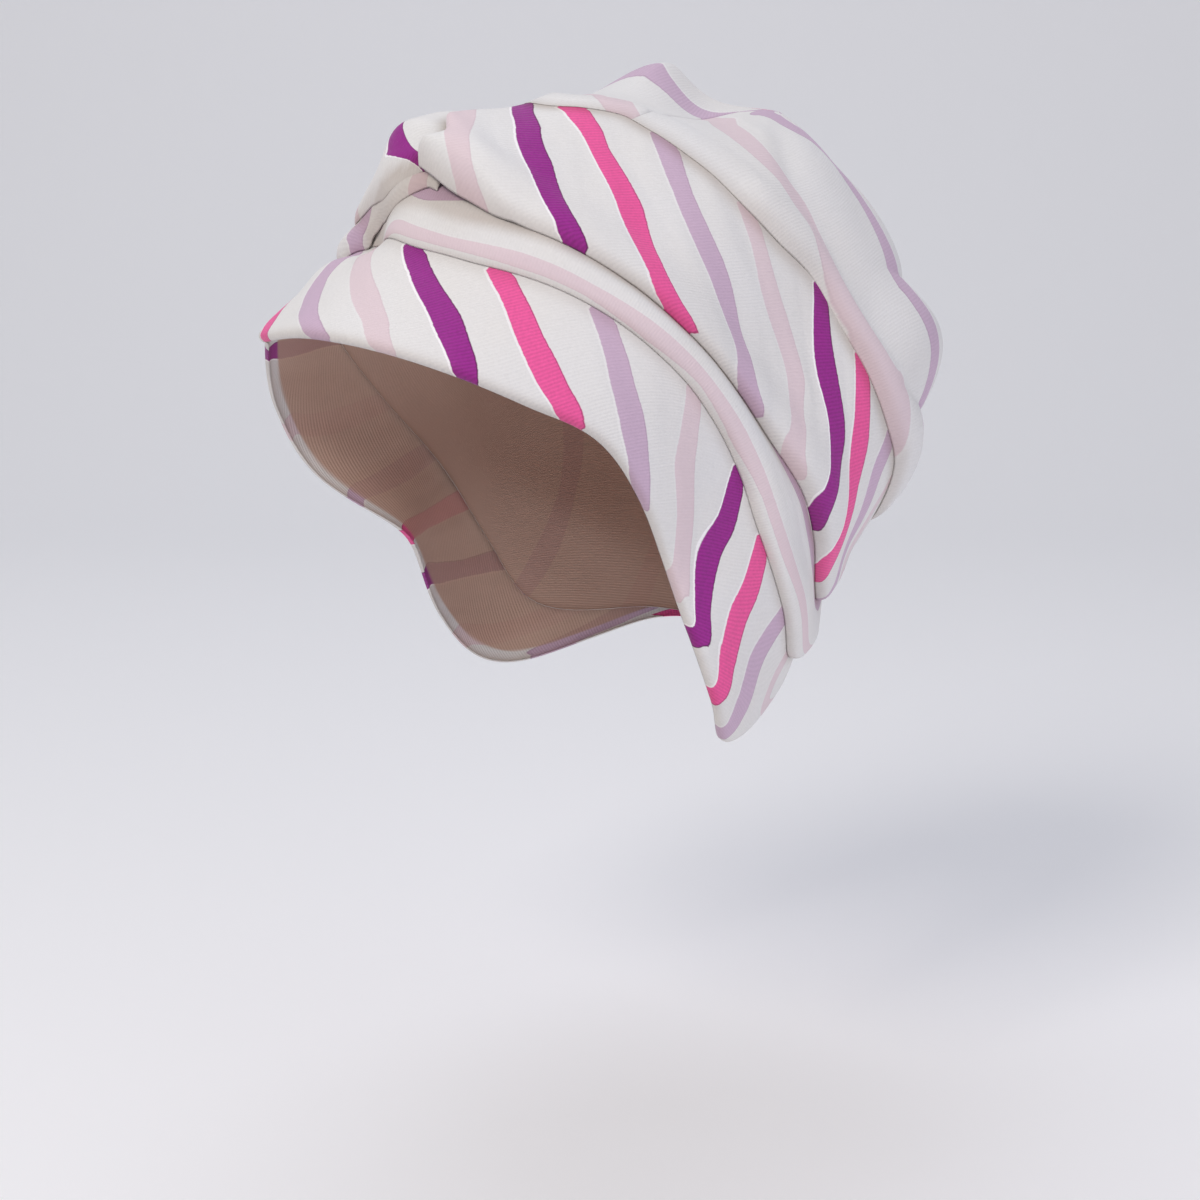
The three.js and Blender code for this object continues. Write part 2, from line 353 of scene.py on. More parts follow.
# ---- the print ------------------------------------------------------------------------------
@dataclass(frozen=True)
class Runs:
    """How the stripes run over a piece of cloth.

    Each row is one station. Its first number is the station, and the others are where the stripes
    from `first` on cross it. Stripes that run up the piece have stations from the lower edge (0) to
    the upper one (1) and turns along each. Stripes that run round the piece have turns as stations
    and rises, or shares of the piece's height, along each.
    """

    first: int
    rows: tuple[tuple[float, ...], ...]

    def index(self, station: Array, place: Array) -> Array:
        """Return the stripe number, with fractions between stripes.

        Args:
            station: Where each point lies between the rows.
            place: Where each point lies across the stripes.

        Returns:
            The number of the stripe at each point; whole numbers are the middles of stripes.
        """
        rows = np.array(self.rows, float)
        shape = np.broadcast_shapes(np.shape(station), np.shape(place))
        station = np.broadcast_to(station, shape).ravel()
        place = np.broadcast_to(place, shape).ravel()
        at = curve_through(rows[:, 0], rows[:, 1:], station)
        count = at.shape[1]
        if at[0, 0] > at[0, -1]:
            raise ValueError("stripes are listed in rising order")
        i = np.clip((at <= place[:, None]).sum(axis=1) - 1, 0, count - 2)
        every = np.arange(len(place))
        a, b = at[every, i], at[every, i + 1]
        before = np.where(i > 0, at[every, np.maximum(i - 1, 0)], 2 * a - b)
        after = np.where(i < count - 2, at[every, np.minimum(i + 2, count - 1)], 2 * b - a)
        s = (place - a) / (b - a)
        # The slopes at both stripes, in stripes for each unit of the gap between them.
        m0, m1 = 2 * (b - a) / (b - before), 2 * (b - a) / (after - a)
        inside = s**3 * (m0 + m1 - 2) + s**2 * (3 - 2 * m0 - m1) + s * m0
        out = np.where(s < 0, s * m0, np.where(s > 1, 1 + (s - 1) * m1, inside))
        return (out + i + self.first).reshape(shape)


def add_node(
    tree: bpy.types.NodeTree, kind: str, values: Sequence[Any] | dict[Any, Any] = (), **settings: Any
) -> bpy.types.Node:
    """Add a shader node with its settings, its fixed values and its links.

    Args:
        tree: The tree that takes the node.
        kind: The node's type, without its first word.
        values: What goes into the inputs, in turn or by number or name. A socket is linked, a node
            is linked by its first output, and anything else is set as the value.
        settings: The node's own settings.

    Returns:
        The node.
    """
    node = tree.nodes.new("ShaderNode" + kind)
    for key, value in settings.items():
        setattr(node, key, value)
    for key, value in values.items() if isinstance(values, dict) else enumerate(values):
        if isinstance(value, bpy.types.Node):
            value = value.outputs[0]
        if isinstance(value, bpy.types.NodeSocket):
            tree.links.new(value, node.inputs[key])
        else:
            node.inputs[key].default_value = value
    return node


@dataclass(frozen=True)
class PrintPlace:
    """Where a point lies in the print, as nodes and sockets whose numbers are in millimetres."""

    across: Any
    stripe: Any
    along: Any
    off_middle: Any
    half_width: Any
    shaded_wrong_side: Any


@dataclass(frozen=True)
class StripedJersey:
    """Cotton jersey, knitted in fine courses and printed with wavy stripes in four colours.

    The spun yarn scatters light, so the cloth is dull, mottled and faintly hairy at a low angle.
    The ink fills the loops, so the stripes are smoother than the bare cloth, and their edges step
    from loop to loop.
    """

    name: str = "striped_cotton_jersey"
    ground: str = "#e7e4e1"
    cool_ground: str = "#e5e5e7"
    bare_thread: str = "#fbf8fb"
    purple: str = "#9a208d"
    pink: str = "#ef5ca0"
    lavender: str = "#cdb3ca"
    pale_pink: str = "#e1cfd5"
    gathered_ink: str = "#6a2a62"
    # Painted shade: the warm grey that the colour is darkened towards beside the fold lines.
    painted_fold_shade: str = "#bfae9e"
    # The wrong side's own colour, darkened to a warm tan that is painted shade inside the cap.
    shaded_wrong_side: str = "#cc9c80"
    # How strongly each colour takes: purple, pink, lavender and pale pink.
    ink_depths: tuple[float, ...] = (1.0, 0.7, 0.28, 0.12)
    rib_mm: float = 1.25  # real courses are about 0.9 mm; drawn coarser so that they show
    wave_mm: float = 58.0
    sway_wave_mm: float = 58.0 * 1.45
    half_width_mm: float = 4.7
    half_swing_mm: float = 0.6
    sway_mm: float = 0.5
    ragged_mm: float = 0.16
    pull_mm: float = 85.0
    faded: float = 0.72
    relief_m: float = 0.0006
    pull_relief_m: float = 0.0045

    def locate(self, add: AddNode) -> PrintPlace:
        """Add the nodes that find a point's place in the print.

        Args:
            add: Adds a node to the material's tree.

        Returns:
            The place. The stripes' edges swell slowly, sway at another pace, each stripe at its
            own phase, and are ragged by one course of the knit at a time.
        """
        print_map = add("SeparateXYZ", (add("UVMap", uv_map="Print"),))
        cloth_map = add("SeparateXYZ", (add("UVMap", uv_map="Cloth"),))
        across = print_map.outputs[0]
        along = add("Math", (print_map.outputs[1], 1000.0), operation="MULTIPLY")
        stripe = add("Math", (add("Math", (across, 0.5), operation="ADD"),), operation="FLOOR")
        off = add("Math", (across, stripe), operation="SUBTRACT")
        off = add("Math", (off, cloth_map.outputs[0]), operation="MULTIPLY")
        off = add("Math", (off, 1000.0), operation="MULTIPLY")
        phase = add("Math", (stripe, 2.4, 0.7), operation="MULTIPLY_ADD")
        swell = add("Math", (along, 1 / self.wave_mm, phase), operation="MULTIPLY_ADD")
        swell = add("Math", (swell, 0.5), operation="PINGPONG")
        swell = add("Math", (swell, 4.0, -1.0), operation="MULTIPLY_ADD")
        half = add("Math", (swell, self.half_swing_mm, self.half_width_mm), operation="MULTIPLY_ADD")
        sway = add("Math", (phase, 2.9), operation="MULTIPLY")
        sway = add("Math", (along, 2 * math.pi / self.sway_wave_mm, sway), operation="MULTIPLY_ADD")
        sway = add("Math", (sway,), operation="SINE")
        course = add("Math", (add("Math", (along, self.rib_mm), operation="DIVIDE"),), operation="FLOOR")
        course = add("Math", (stripe, 37.0, course), operation="MULTIPLY_ADD")
        ragged = add("TexWhiteNoise", {"W": course}, noise_dimensions="1D")
        ragged = add("Math", (ragged, self.ragged_mm, -self.ragged_mm / 2), operation="MULTIPLY_ADD")
        off = add("Math", (sway, -self.sway_mm, off), operation="MULTIPLY_ADD")
        off = add("Math", (off, ragged), operation="ADD")
        return PrintPlace(across, stripe, along, off, half, cloth_map.outputs[1])

    def inks(self, add: AddNode, stripe: Any) -> tuple[bpy.types.Node, bpy.types.Node]:
        """Add the nodes that give each of the four colours its turn.

        Args:
            add: Adds a node to the material's tree.
            stripe: The number of the stripe.

        Returns:
            The ink of the stripe, and how strongly it takes.
        """
        turn = add("Math", (stripe, 4.0), operation="FLOORED_MODULO")
        turn = add("Math", (add("Math", (turn, 0.5), operation="ADD"), 4.0), operation="DIVIDE")
        colours = [linear(ink) for ink in (self.purple, self.pink, self.lavender, self.pale_pink)]
        depths = [(depth, depth, depth, 1.0) for depth in self.ink_depths]
        ramps = []
        for steps in (colours, depths):
            node = add("ValToRGB", (turn,))
            node.color_ramp.interpolation = "CONSTANT"
            stops = node.color_ramp.elements
            for number, step in enumerate(steps):
                stop = stops[number] if number < 2 else stops.new(number / 4)
                stop.position, stop.color = number / 4, step
            ramps.append(node)
        return ramps[0], ramps[1]

    def build(self) -> bpy.types.Material:
        """Build the material.

        Returns:
            The material. It reads three maps of the piece's own: "Print" holds the stripe number
            and the distance along the stripe in metres, "Cloth" the spacing of the stripes in
            metres and 1 on the wrong side, and "Shade" the painted shade beside the fold lines.
        """
        made = bpy.data.materials.new(self.name)
        made.use_nodes = True
        made.node_tree.nodes.clear()
        add = partial(add_node, made.node_tree)
        place = self.locate(add)
        off, half = place.off_middle, place.half_width
        ink, strength = self.inks(add, place.stripe)
        body = add("Math", (off,), operation="ABSOLUTE")
        body = add("Math", (half, body), operation="SUBTRACT")
        body = add("MapRange", (body, -0.15, 0.25), interpolation_type="SMOOTHSTEP")

        # Courses of the knit, and the mottle of the yarn.
        knit = add("Math", (place.along, 2 * math.pi / self.rib_mm), operation="MULTIPLY")
        knit = add("Math", (knit,), operation="SINE")
        where = add("TexCoord").outputs["Object"]
        mottle = add("TexNoise", {"Vector": where, "Scale": 900.0, "Detail": 3.0, "Roughness": 0.6})
        cloudy = add("TexNoise", {"Vector": where, "Scale": 22.0, "Detail": 2.0})

        tones = []
        for mottled, even, ribbed in ((0.5, 0.72, 0.10), (0.12, 0.93, 0.012)):
            tone = add("Math", (mottle, mottled, even), operation="MULTIPLY_ADD")
            tone = add("Math", (knit, ribbed, tone), operation="MULTIPLY_ADD")
            tones.append(add("CombineColor", (tone, tone, tone)).outputs[0])
        multiply = {"data_type": "RGBA", "blend_type": "MULTIPLY"}
        blend = {"data_type": "RGBA", "blend_type": "MIX"}
        ink = add("Mix", {0: strength, 6: ink, 7: tones[0]}, **multiply).outputs[2]
        ground = add("Mix", {0: cloudy, 6: linear(self.ground), 7: linear(self.cool_ground)}, **blend)
        ground = add("Mix", {0: 1.0, 6: ground.outputs[2], 7: tones[1]}, **multiply).outputs[2]

        # A thread of undyed cloth shows white beside one edge, and the ink gathers dark at the other.
        halo = add("Math", (add("Math", (off, half), operation="ADD"), 0.45), operation="ADD")
        rim = add("Math", (add("Math", (off, half), operation="SUBTRACT"), -0.2), operation="SUBTRACT")
        bands = []
        for band, outside, inside in ((halo, 0.55, 0.2), (rim, 0.5, 0.15)):
            band = add("Math", (band,), operation="ABSOLUTE")
            band = add("MapRange", (band, outside, inside, 0.0, 1.0), interpolation_type="SMOOTHSTEP")
            bands.append(add("Math", (band, strength), operation="MULTIPLY"))
        ground = add("Mix", {0: bands[0], 6: ground, 7: linear(self.bare_thread)}, **blend).outputs[2]
        dark = add("Math", (bands[1], 0.62), operation="MULTIPLY")
        ink = add("Mix", {0: dark, 6: ink, 7: linear(self.gathered_ink)}, **multiply).outputs[2]
        colour = add("Mix", {0: body, 6: ground, 7: ink}, **blend).outputs[2]

        # Painted shade beside the fold lines: the colour is darkened towards a warm grey, more in some
        # places than others.
        beside = add("SeparateXYZ", (add("UVMap", uv_map="Shade"),))
        painted_shade_mask = add("Math", (cloudy, 0.7, 0.25), operation="MULTIPLY_ADD")
        painted_shade_mask = add("Math", (beside, painted_shade_mask), operation="MULTIPLY")
        colour = add("Mix", {0: painted_shade_mask, 6: colour, 7: linear(self.painted_fold_shade)}, **multiply).outputs[2]
        # Little of the print comes through to the wrong side. The wrong side is also darkened to a warm
        # tan: painted shade inside the cap.
        back = add("Mix", {0: self.faded, 6: colour, 7: linear(self.ground)}, **blend).outputs[2]
        back = add("Mix", {0: 0.75, 6: back, 7: linear(self.shaded_wrong_side)}, **multiply).outputs[2]
        colour = add("Mix", {0: place.shaded_wrong_side, 6: colour, 7: back}, **blend).outputs[2]

        relief = add("Math", (mottle, 0.9), operation="MULTIPLY")
        relief = add("Math", (knit, 0.35, relief), operation="MULTIPLY_ADD")
        # Long soft folds that the pull on the cloth draws along the print.
        wide = add("Math", (place.across, 1.7), operation="MULTIPLY")
        long = add("Math", (place.along, self.pull_mm), operation="DIVIDE")
        pulls = add("TexNoise", {"Vector": add("CombineXYZ", (wide, long)), "Scale": 1.0, "Detail": 1.5})
        folds = add("Bump", {"Height": pulls, "Strength": 0.5, "Distance": self.pull_relief_m})
        fine = {"Height": relief, "Strength": 0.22, "Distance": self.relief_m, "Normal": folds}
        inked = add("Math", (body, strength), operation="MULTIPLY")
        shader = {
            "Base Color": colour,
            "Roughness": add("MapRange", (inked, 0.0, 1.0, 0.86, 0.62)),
            "Normal": add("Bump", fine),
            "IOR": 1.5,
            "Specular IOR Level": 0.35,
            "Sheen Weight": 0.12,
            "Sheen Roughness": 0.45,
        }
        add("OutputMaterial", {"Surface": add("BsdfPrincipled", shader)})
        return made


# ---- layers of cloth ------------------------------------------------------------------------
@dataclass
class ClothLayer:
    """One layer of doubled jersey, as a closed shell between two fold lines."""

    form: WrappedForm
    name: str = "layer"
    start: float = -180.0
    stop: float = 180.0
    closed: bool = False
    rows: int = 40
    turn_step: float = 1.0
    flat: tuple[float, float] = (0.5, 0.1)
    held: str = "stretched"
    rests_on: tuple[str, ...] = ()
    edge: float = 1.5
    # A thinned edge takes this many more edge widths, and every edge sinks by this share of the gap.
    thin_reach: float = 4.0
    edge_drop: float = 0.75
    plump: float = 1.3
    plump_mm: float = 6.0
    turned_in_mm: float = 7.0
    turned_in_blur_mm: float = 0.6
    narrow: float = 1.0
    cover_line: Line | None = None
    shade_depth: float = 0.6
    shade_width: float = 1.2
    shade_cast: float = 0.9
    cast_width: float = 1.7
    # The print is measured up to this rise and carried on above it, where the turns run together.
    print_top: float = 86.0
    least_pitch: float = 12.0
    most_pitch: float = 90.0
    # The coarse grid on which the distance along the stripes is worked out.
    coarse_turn: float = 6.0
    coarse_inset: float = 0.6
    coarse_margin: float = 0.02
    coarse_rows: int = 11
    piece: Any = field(default=None, repr=False)

    def low(self, turn: Array) -> Array:
        """Return the rise of the lower edge."""
        raise NotImplementedError

    def high(self, turn: Array) -> Array:
        """Return the rise of the upper edge."""
        raise NotImplementedError

    def inner(self, turn: Array, rise: Array) -> Array:
        """Return the height of the inner face above the form."""
        raise NotImplementedError

    def stripes(self, turn: Array, rise: Array) -> Array:
        """Return the stripe number at a place."""
        raise NotImplementedError

    def soft_edge(self, turn: Array, rise: Array) -> Array:
        """Return how far the cloth swells just inside its folded lower edge."""
        inside = np.maximum(rise - self.low(turn), 0.0) * DEGREE * self.form.mean_radius / self.plump_mm
        return self.plump * inside * np.exp(1.0 - inside)

    def narrowing(self, turn: Array, rise: Array) -> Array:
        """Return how many times narrower than usual the printed stripes are drawn."""
        return np.full(np.broadcast_shapes(np.shape(turn), np.shape(rise)), self.narrow)

    # Painted shade: the material darkens the cloth towards a warm grey by this depth.
    def shade(self, turn: Array, rise: Array) -> Array:
        """Return how deep a place lies in the soft shade beside the layer's fold lines."""
        below = bump(np.maximum(rise - self.low(turn), 0.0), 0.0, self.shade_width)
        return clamp01(self.shade_depth * below + self.shade_above(turn, rise))

    def shade_above(self, turn: Array, rise: Array) -> Array:
        """Work out the shade that the layer on top casts along its edge.

        Args:
            turn: The turn of each place.
            rise: The rise of each place.

        Returns:
            The depth of the shade, which is 0 all over where no layer lies on top.
        """
        if self.cover_line is None:
            return np.zeros(np.shape(rise))
        below = np.maximum(self.form.line(self.cover_line, turn) - rise, 0.0)
        return self.shade_cast * bump(below, 0.0, self.cast_width)

    def taper(self, turn: Array) -> Array:
        """Return 1 where the lower edge thins out flat and 0 where it is a rounded fold."""
        return np.zeros(np.shape(turn))

    def lean(self, turn: Array, rise: Array) -> Array:
        """Return how many degrees of turn a section stands away from its own at a rise."""
        return np.zeros(np.broadcast_shapes(np.shape(turn), np.shape(rise)))

    def edges(self, turns: Array) -> tuple[Array, Array]:
        """Return the rises of the lower and the upper edge of each section, as columns."""
        at = turns + self.lean(turns, np.full(len(turns), -APEX))
        return self.low(at)[:, None], self.high(at)[:, None]

    def turns(self) -> Array:
        """Place the sections.

        Returns:
            The turn of each section, close together at free ends.
        """
        if self.closed:
            count = round((self.stop - self.start) / self.turn_step)
            return self.start + self.turn_step * np.arange(count)
        edge = self.edge * np.array([*EDGE_STEPS, 1.0])
        first, last = self.start + self.edge, self.stop - self.edge
        count = max(2, round((last - first) / self.turn_step))
        middle = np.linspace(first, last, count + 1)[1:-1]
        return np.concatenate([self.start + edge, middle, (self.stop - edge)[::-1]])

    def grid(self, turns: Array, rows: int) -> tuple[Array, Array, Array]:
        """Lay out the sections and rows.

        Args:
            turns: The turn of each section.
            rows: The number of rows between the two edges.

        Returns:
            The turn and the rise of each point, and how full the wall is there, from 0 to 1.
        """
        low, high = self.edges(turns)
        thin = self.taper(turns)[:, None]
        inset = self.edge * (1 + self.thin_reach * thin)
        steps = np.array(EDGE_STEPS)
        rounded_top = bool(np.all(high < APEX - 1.0))
        top = self.edge if rounded_top else 0.0
        share = np.linspace(0.0, 1.0, rows + 1)
        body = low + inset + share[None, :] * (high - top - low - inset)
        rise = np.concatenate([low + inset * steps[None, :], body], axis=1)
        if rounded_top:
            rise = np.concatenate([rise, high - top * steps[None, ::-1]], axis=1)
        turn = turns[:, None] + self.lean(turns[:, None], rise)

        def rounded(x: Array) -> Array:
            """Return the profile of a rounded edge."""
            return np.sqrt(clamp01(1 - (1 - clamp01(x)) ** 2))

        from_low = (rise - low) / inset
        full = mix(rounded(from_low), ramp(from_low, 0.0, 1.0), thin)
        if rounded_top:
            full = full * rounded((high - rise) / top)
        if not self.closed:
            full = full * rounded(np.minimum(turns - self.start, self.stop - turns) / self.edge)[:, None]
        return turn, rise, full

    def face(self, turn: Array, rise: Array, full: Array, outer: bool) -> Array:
        """Place one face of the wall.

        Args:
            turn: The turn of each point.
            rise: The rise of each point.
            full: How full the wall is there, from 0 to 1.
            outer: Whether it is the outer face.

        Returns:
            The points in millimetres.
        """
        down = self.edge_drop * self.form.gap * (1 - full)
        height = self.inner(turn, rise) + (self.form.wall * full if outer else 0.0) - down
        return self.form.place(turn, rise, height)

    def lengthwise(self) -> tuple[Array, Array, Array]:
        """Work out the distance along the stripes, on a coarse grid.

        Returns:
            The turns and the shares of the height of the grid, and the distance in millimetres.
        """
        count = max(12, round((self.stop - self.start) / self.coarse_turn))
        turns = np.linspace(self.start + self.coarse_inset, self.stop - self.coarse_inset, count)
        shares = np.linspace(self.coarse_margin, 1 - self.coarse_margin, self.coarse_rows)
        low, high = self.edges(turns)
        high = np.minimum(high, self.print_top)
        rise = low + shares[None, :] * (high - low)
        turn = turns[:, None] + self.lean(turns[:, None], rise)
        p = self.form.place(turn, rise, self.inner(turn, rise) + self.form.wall)
        u = self.stripes(turn, rise)
        pa, pb = np.gradient(p, axis=0), np.gradient(p, axis=1)
        ua, ub = np.gradient(u, axis=0), np.gradient(u, axis=1)
        e, f, g = (pa * pa).sum(-1), (pa * pb).sum(-1), (pb * pb).sum(-1)
        det = np.maximum(e * g - f * f, 1e-6)
        grad = ((g * ua - f * ub) / det)[..., None] * pa + ((e * ub - f * ua) / det)[..., None] * pb
        normal = np.cross(pa, pb)
        run = np.cross(normal, grad)
        run /= np.maximum(np.linalg.norm(run, axis=-1, keepdims=True), 1e-9)
        number = np.arange(turn.size).reshape(turn.shape)
        lines, values = [], []
        for one, other in (
            ((slice(None, -1), slice(None)), (slice(1, None), slice(None))),
            ((slice(None), slice(None, -1)), (slice(None), slice(1, None))),
        ):
            step = p[other] - p[one]
            mean = (run[one] + run[other]) / 2
            target = (step * mean).sum(-1).ravel()
            lines.append(np.stack([number[one].ravel(), number[other].ravel()], axis=1))
            values.append(target)
        pairs, target = np.concatenate(lines), np.concatenate(values)
        matrix = np.zeros((len(pairs) + 1, turn.size))
        every = np.arange(len(pairs))
        matrix[every, pairs[:, 0]], matrix[every, pairs[:, 1]] = -1.0, 1.0
        matrix[-1, 0] = 1.0
        solved = np.linalg.lstsq(matrix, np.append(target, 0.0), rcond=None)[0]
        return turns, shares, solved.reshape(turn.shape)

    def build(self, cloth: bpy.types.Material) -> bpy.types.Object:
        """Args:
            cloth: The material of the layer.

        Returns:
            The finished piece.
        """
        turns = self.turns()
        turn, rise, full = self.grid(turns, self.rows)
        outer, inner = self.face(turn, rise, full, True), self.face(turn, rise, full, False)
        columns, count = turn.shape
        # The stripe number, its spacing and the distance along it, at each point.
        u = self.stripes(turn, rise)
        known_turns, shares, known = self.lengthwise()
        low, high = self.edges(turns)
        high = np.minimum(high, self.print_top)
        share = (rise - low) / (high - low)
        in_rows = curve_through(known_turns, known, turns)
        v = np.stack([curve_through(shares, in_rows[i], share[i]) for i in range(columns)])
        over = share - np.clip(share, shares[0], shares[-1])
        slope_high = (in_rows[:, -1] - in_rows[:, -2]) / (shares[-1] - shares[-2])
        slope_low = (in_rows[:, 1] - in_rows[:, 0]) / (shares[1] - shares[0])
        v = v + np.where(over > 0, over * slope_high[:, None], over * slope_low[:, None])
        pitch = self.spacing(turn, rise) * self.narrowing(turn, rise)

        points = np.concatenate([outer.reshape(-1, 3), inner.reshape(-1, 3)]) * MM
        around = columns if self.closed else columns - 1
        i, j = np.meshgrid(np.arange(around), np.arange(count - 1), indexing="ij")
        i, j = i.ravel(), j.ravel()
        k = (i + 1) % columns
        a, b, c, d = i * count + j, k * count + j, k * count + j + 1, i * count + j + 1
        shift = columns * count
        faces = np.concatenate([np.stack([a, b, c, d], 1), np.stack([d, c, b, a], 1) + shift])
        shade = self.shade(turn, rise)
        uv = np.stack([u, v * MM, pitch * MM, np.zeros_like(u), shade, full], axis=-1).reshape(-1, 6)
        from_edge = (rise - low) * DEGREE * self.form.mean_radius
        wrong = uv.copy()
        blur = self.turned_in_blur_mm
        wrong[:, 3] = ramp(from_edge, self.turned_in_mm - blur, self.turned_in_mm + blur).ravel()
        values = np.concatenate([uv, wrong])
        corner = values[faces.ravel()].reshape(-1, 4, 6)
        if self.closed:
            self.mend_seam(corner, faces, columns, count)
        self.piece = self.write(points, faces, corner.reshape(-1, 6), cloth)
        return self.piece

    def mend_seam(self, corner: Array, faces: Array, columns: int, count: int) -> None:
        """Give the faces that cross the seam of a ring the print of its far end.

        Args:
            corner: The maps' values at each corner of each face, which are changed in place.
            faces: Four point numbers for each face.
            columns: The number of sections.
            count: The number of points in a section.
        """
        end = self.stop - 1e-3
        rise = self.grid(np.array([end]), self.rows)[1][0]
        u = self.stripes(np.full(count, end), rise)
        ring = faces % (columns * count)
        column, row = ring // count, ring % count
        far = columns - 1
        for q in np.flatnonzero((column.max(axis=1) == far) & (column.min(axis=1) == 0)):
            for slot in np.flatnonzero(column[q] == 0):
                partner = np.flatnonzero((column[q] == far) & (row[q] == row[q, slot]))[0]
                corner[q, slot, 0] = u[row[q, slot]]
                corner[q, slot, 1:] = corner[q, partner, 1:]

    def spacing(self, turn: Array, rise: Array) -> Array:
        """Measure the distance between stripes on the cloth.

        Args:
            turn: The turn of each point.
            rise: The rise of each point.

        Returns:
            The distance in millimetres, held between the least and the most pitch.
        """
        step = 0.4
        rise_in = np.minimum(rise, APEX - 1.5)
        height = self.inner(turn, rise_in)
        p = self.form.place(turn, rise_in, height)
        pa = (self.form.place(turn + step, rise_in, height) - p) / step
        pb = (self.form.place(turn, rise_in + step, height) - p) / step
        ua = (self.stripes(turn + step, rise_in) - self.stripes(turn - step, rise_in)) / (2 * step)
        ub = (self.stripes(turn, rise_in + step) - self.stripes(turn, rise_in - step)) / (2 * step)
        e, f, g = (pa * pa).sum(-1), (pa * pb).sum(-1), (pb * pb).sum(-1)
        det = np.maximum(e * g - f * f, 1e-6)
        squared = (g * ua * ua - 2 * f * ua * ub + e * ub * ub) / det
        return np.clip(1 / np.sqrt(np.maximum(squared, 1e-8)), self.least_pitch, self.most_pitch)

    def write(
        self, points: Array, faces: Array, corner: Array, cloth: bpy.types.Material
    ) -> bpy.types.Object:
        """Args:
            points: Points in metres.
            faces: Four point numbers for each face.
            corner: The three maps' values at each corner of each face.
            cloth: The material of the layer.

        Returns:
            The piece, riding on the root body and standing for its CAD node.
        """
        keys = np.round(points / WELD).astype(np.int64)
        first, back = np.unique(keys, axis=0, return_index=True, return_inverse=True)[1:]
        faces = back.reshape(-1)[faces]
        used = points[first]
        loops, starts, sizes, kept = [], [], [], []
        ring = np.roll(faces, -1, axis=1)
        same = faces == ring
        for q in range(len(faces)):
            if same[q].any():
                keep = [s for s in range(4) if not same[q, s]]
                if len(keep) < 3 or len(set(faces[q, keep])) < 3:
                    continue
            else:
                if len(set(faces[q])) < 4:
                    continue
                keep = [0, 1, 2, 3]
            starts.append(len(loops))
            sizes.append(len(keep))
            loops.extend(faces[q, keep].tolist())
            kept.extend((q * 4 + np.array(keep)).tolist())
        mesh = bpy.data.meshes.new(self.name)
        mesh.vertices.add(len(used))
        mesh.vertices.foreach_set("co", used.astype(np.float32).ravel())
        mesh.loops.add(len(loops))
        mesh.loops.foreach_set("vertex_index", np.array(loops, np.int32))
        mesh.polygons.add(len(starts))
        mesh.polygons.foreach_set("loop_start", np.array(starts, np.int32))
        mesh.polygons.foreach_set("loop_total", np.array(sizes, np.int32))
        mesh.polygons.foreach_set("use_smooth", np.ones(len(starts), bool))
        values = corner[np.array(kept)].astype(np.float32)
        for title, pick in (("Print", (0, 1)), ("Cloth", (2, 3)), ("Shade", (4, 5))):
            layer = mesh.uv_layers.new(name=title)
            layer.data.foreach_set("uv", np.ascontiguousarray(values[:, pick]).ravel())
        mesh.update(calc_edges=True)
        mesh.validate()
        mesh.materials.append(cloth)
        piece = bpy.data.objects.new(self.name + "_cloth", mesh)
        bpy.context.scene.collection.objects.link(piece)
        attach(piece, "root")
        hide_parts(self.name)
        LOG.info("%s: %d faces", piece.name, len(mesh.polygons))
        return piece


@dataclass
class Crown(ClothLayer):
    """The base cap, over the top and back of the head."""

    name: str = "crown"
    closed: bool = True
    rows: int = 60
    turn_step: float = 2.0
    turned_in_mm: float = -1.0
    flat: tuple[float, float] = (0.66, 0.172)
    stripe_pitch: float = 37.0
    print_radius: float = 118.0
    print_offset: float = 0.3

    def low(self, turn: Array) -> Array:
        """Return the rise of the lower edge, behind the rim band."""
        return self.form.line(Line.FOLD, turn) - 2 * self.form.tuck

    def high(self, turn: Array) -> Array:
        """Return the apex."""
        return np.full(np.shape(turn), APEX)

    def inner(self, turn: Array, rise: Array) -> Array:
        """Return the height of the inner face, a wall inside the form."""
        height = -self.form.wall - self.form.crown_clearance
        return np.full(np.broadcast_shapes(np.shape(turn), np.shape(rise)), height)

    def stripes(self, turn: Array, rise: Array) -> Array:
        """Return the stripe number: the print runs from front to back."""
        to_the_left = self.print_radius * np.cos(np.radians(rise)) * np.sin(np.radians(turn))
        return to_the_left / self.stripe_pitch + self.print_offset


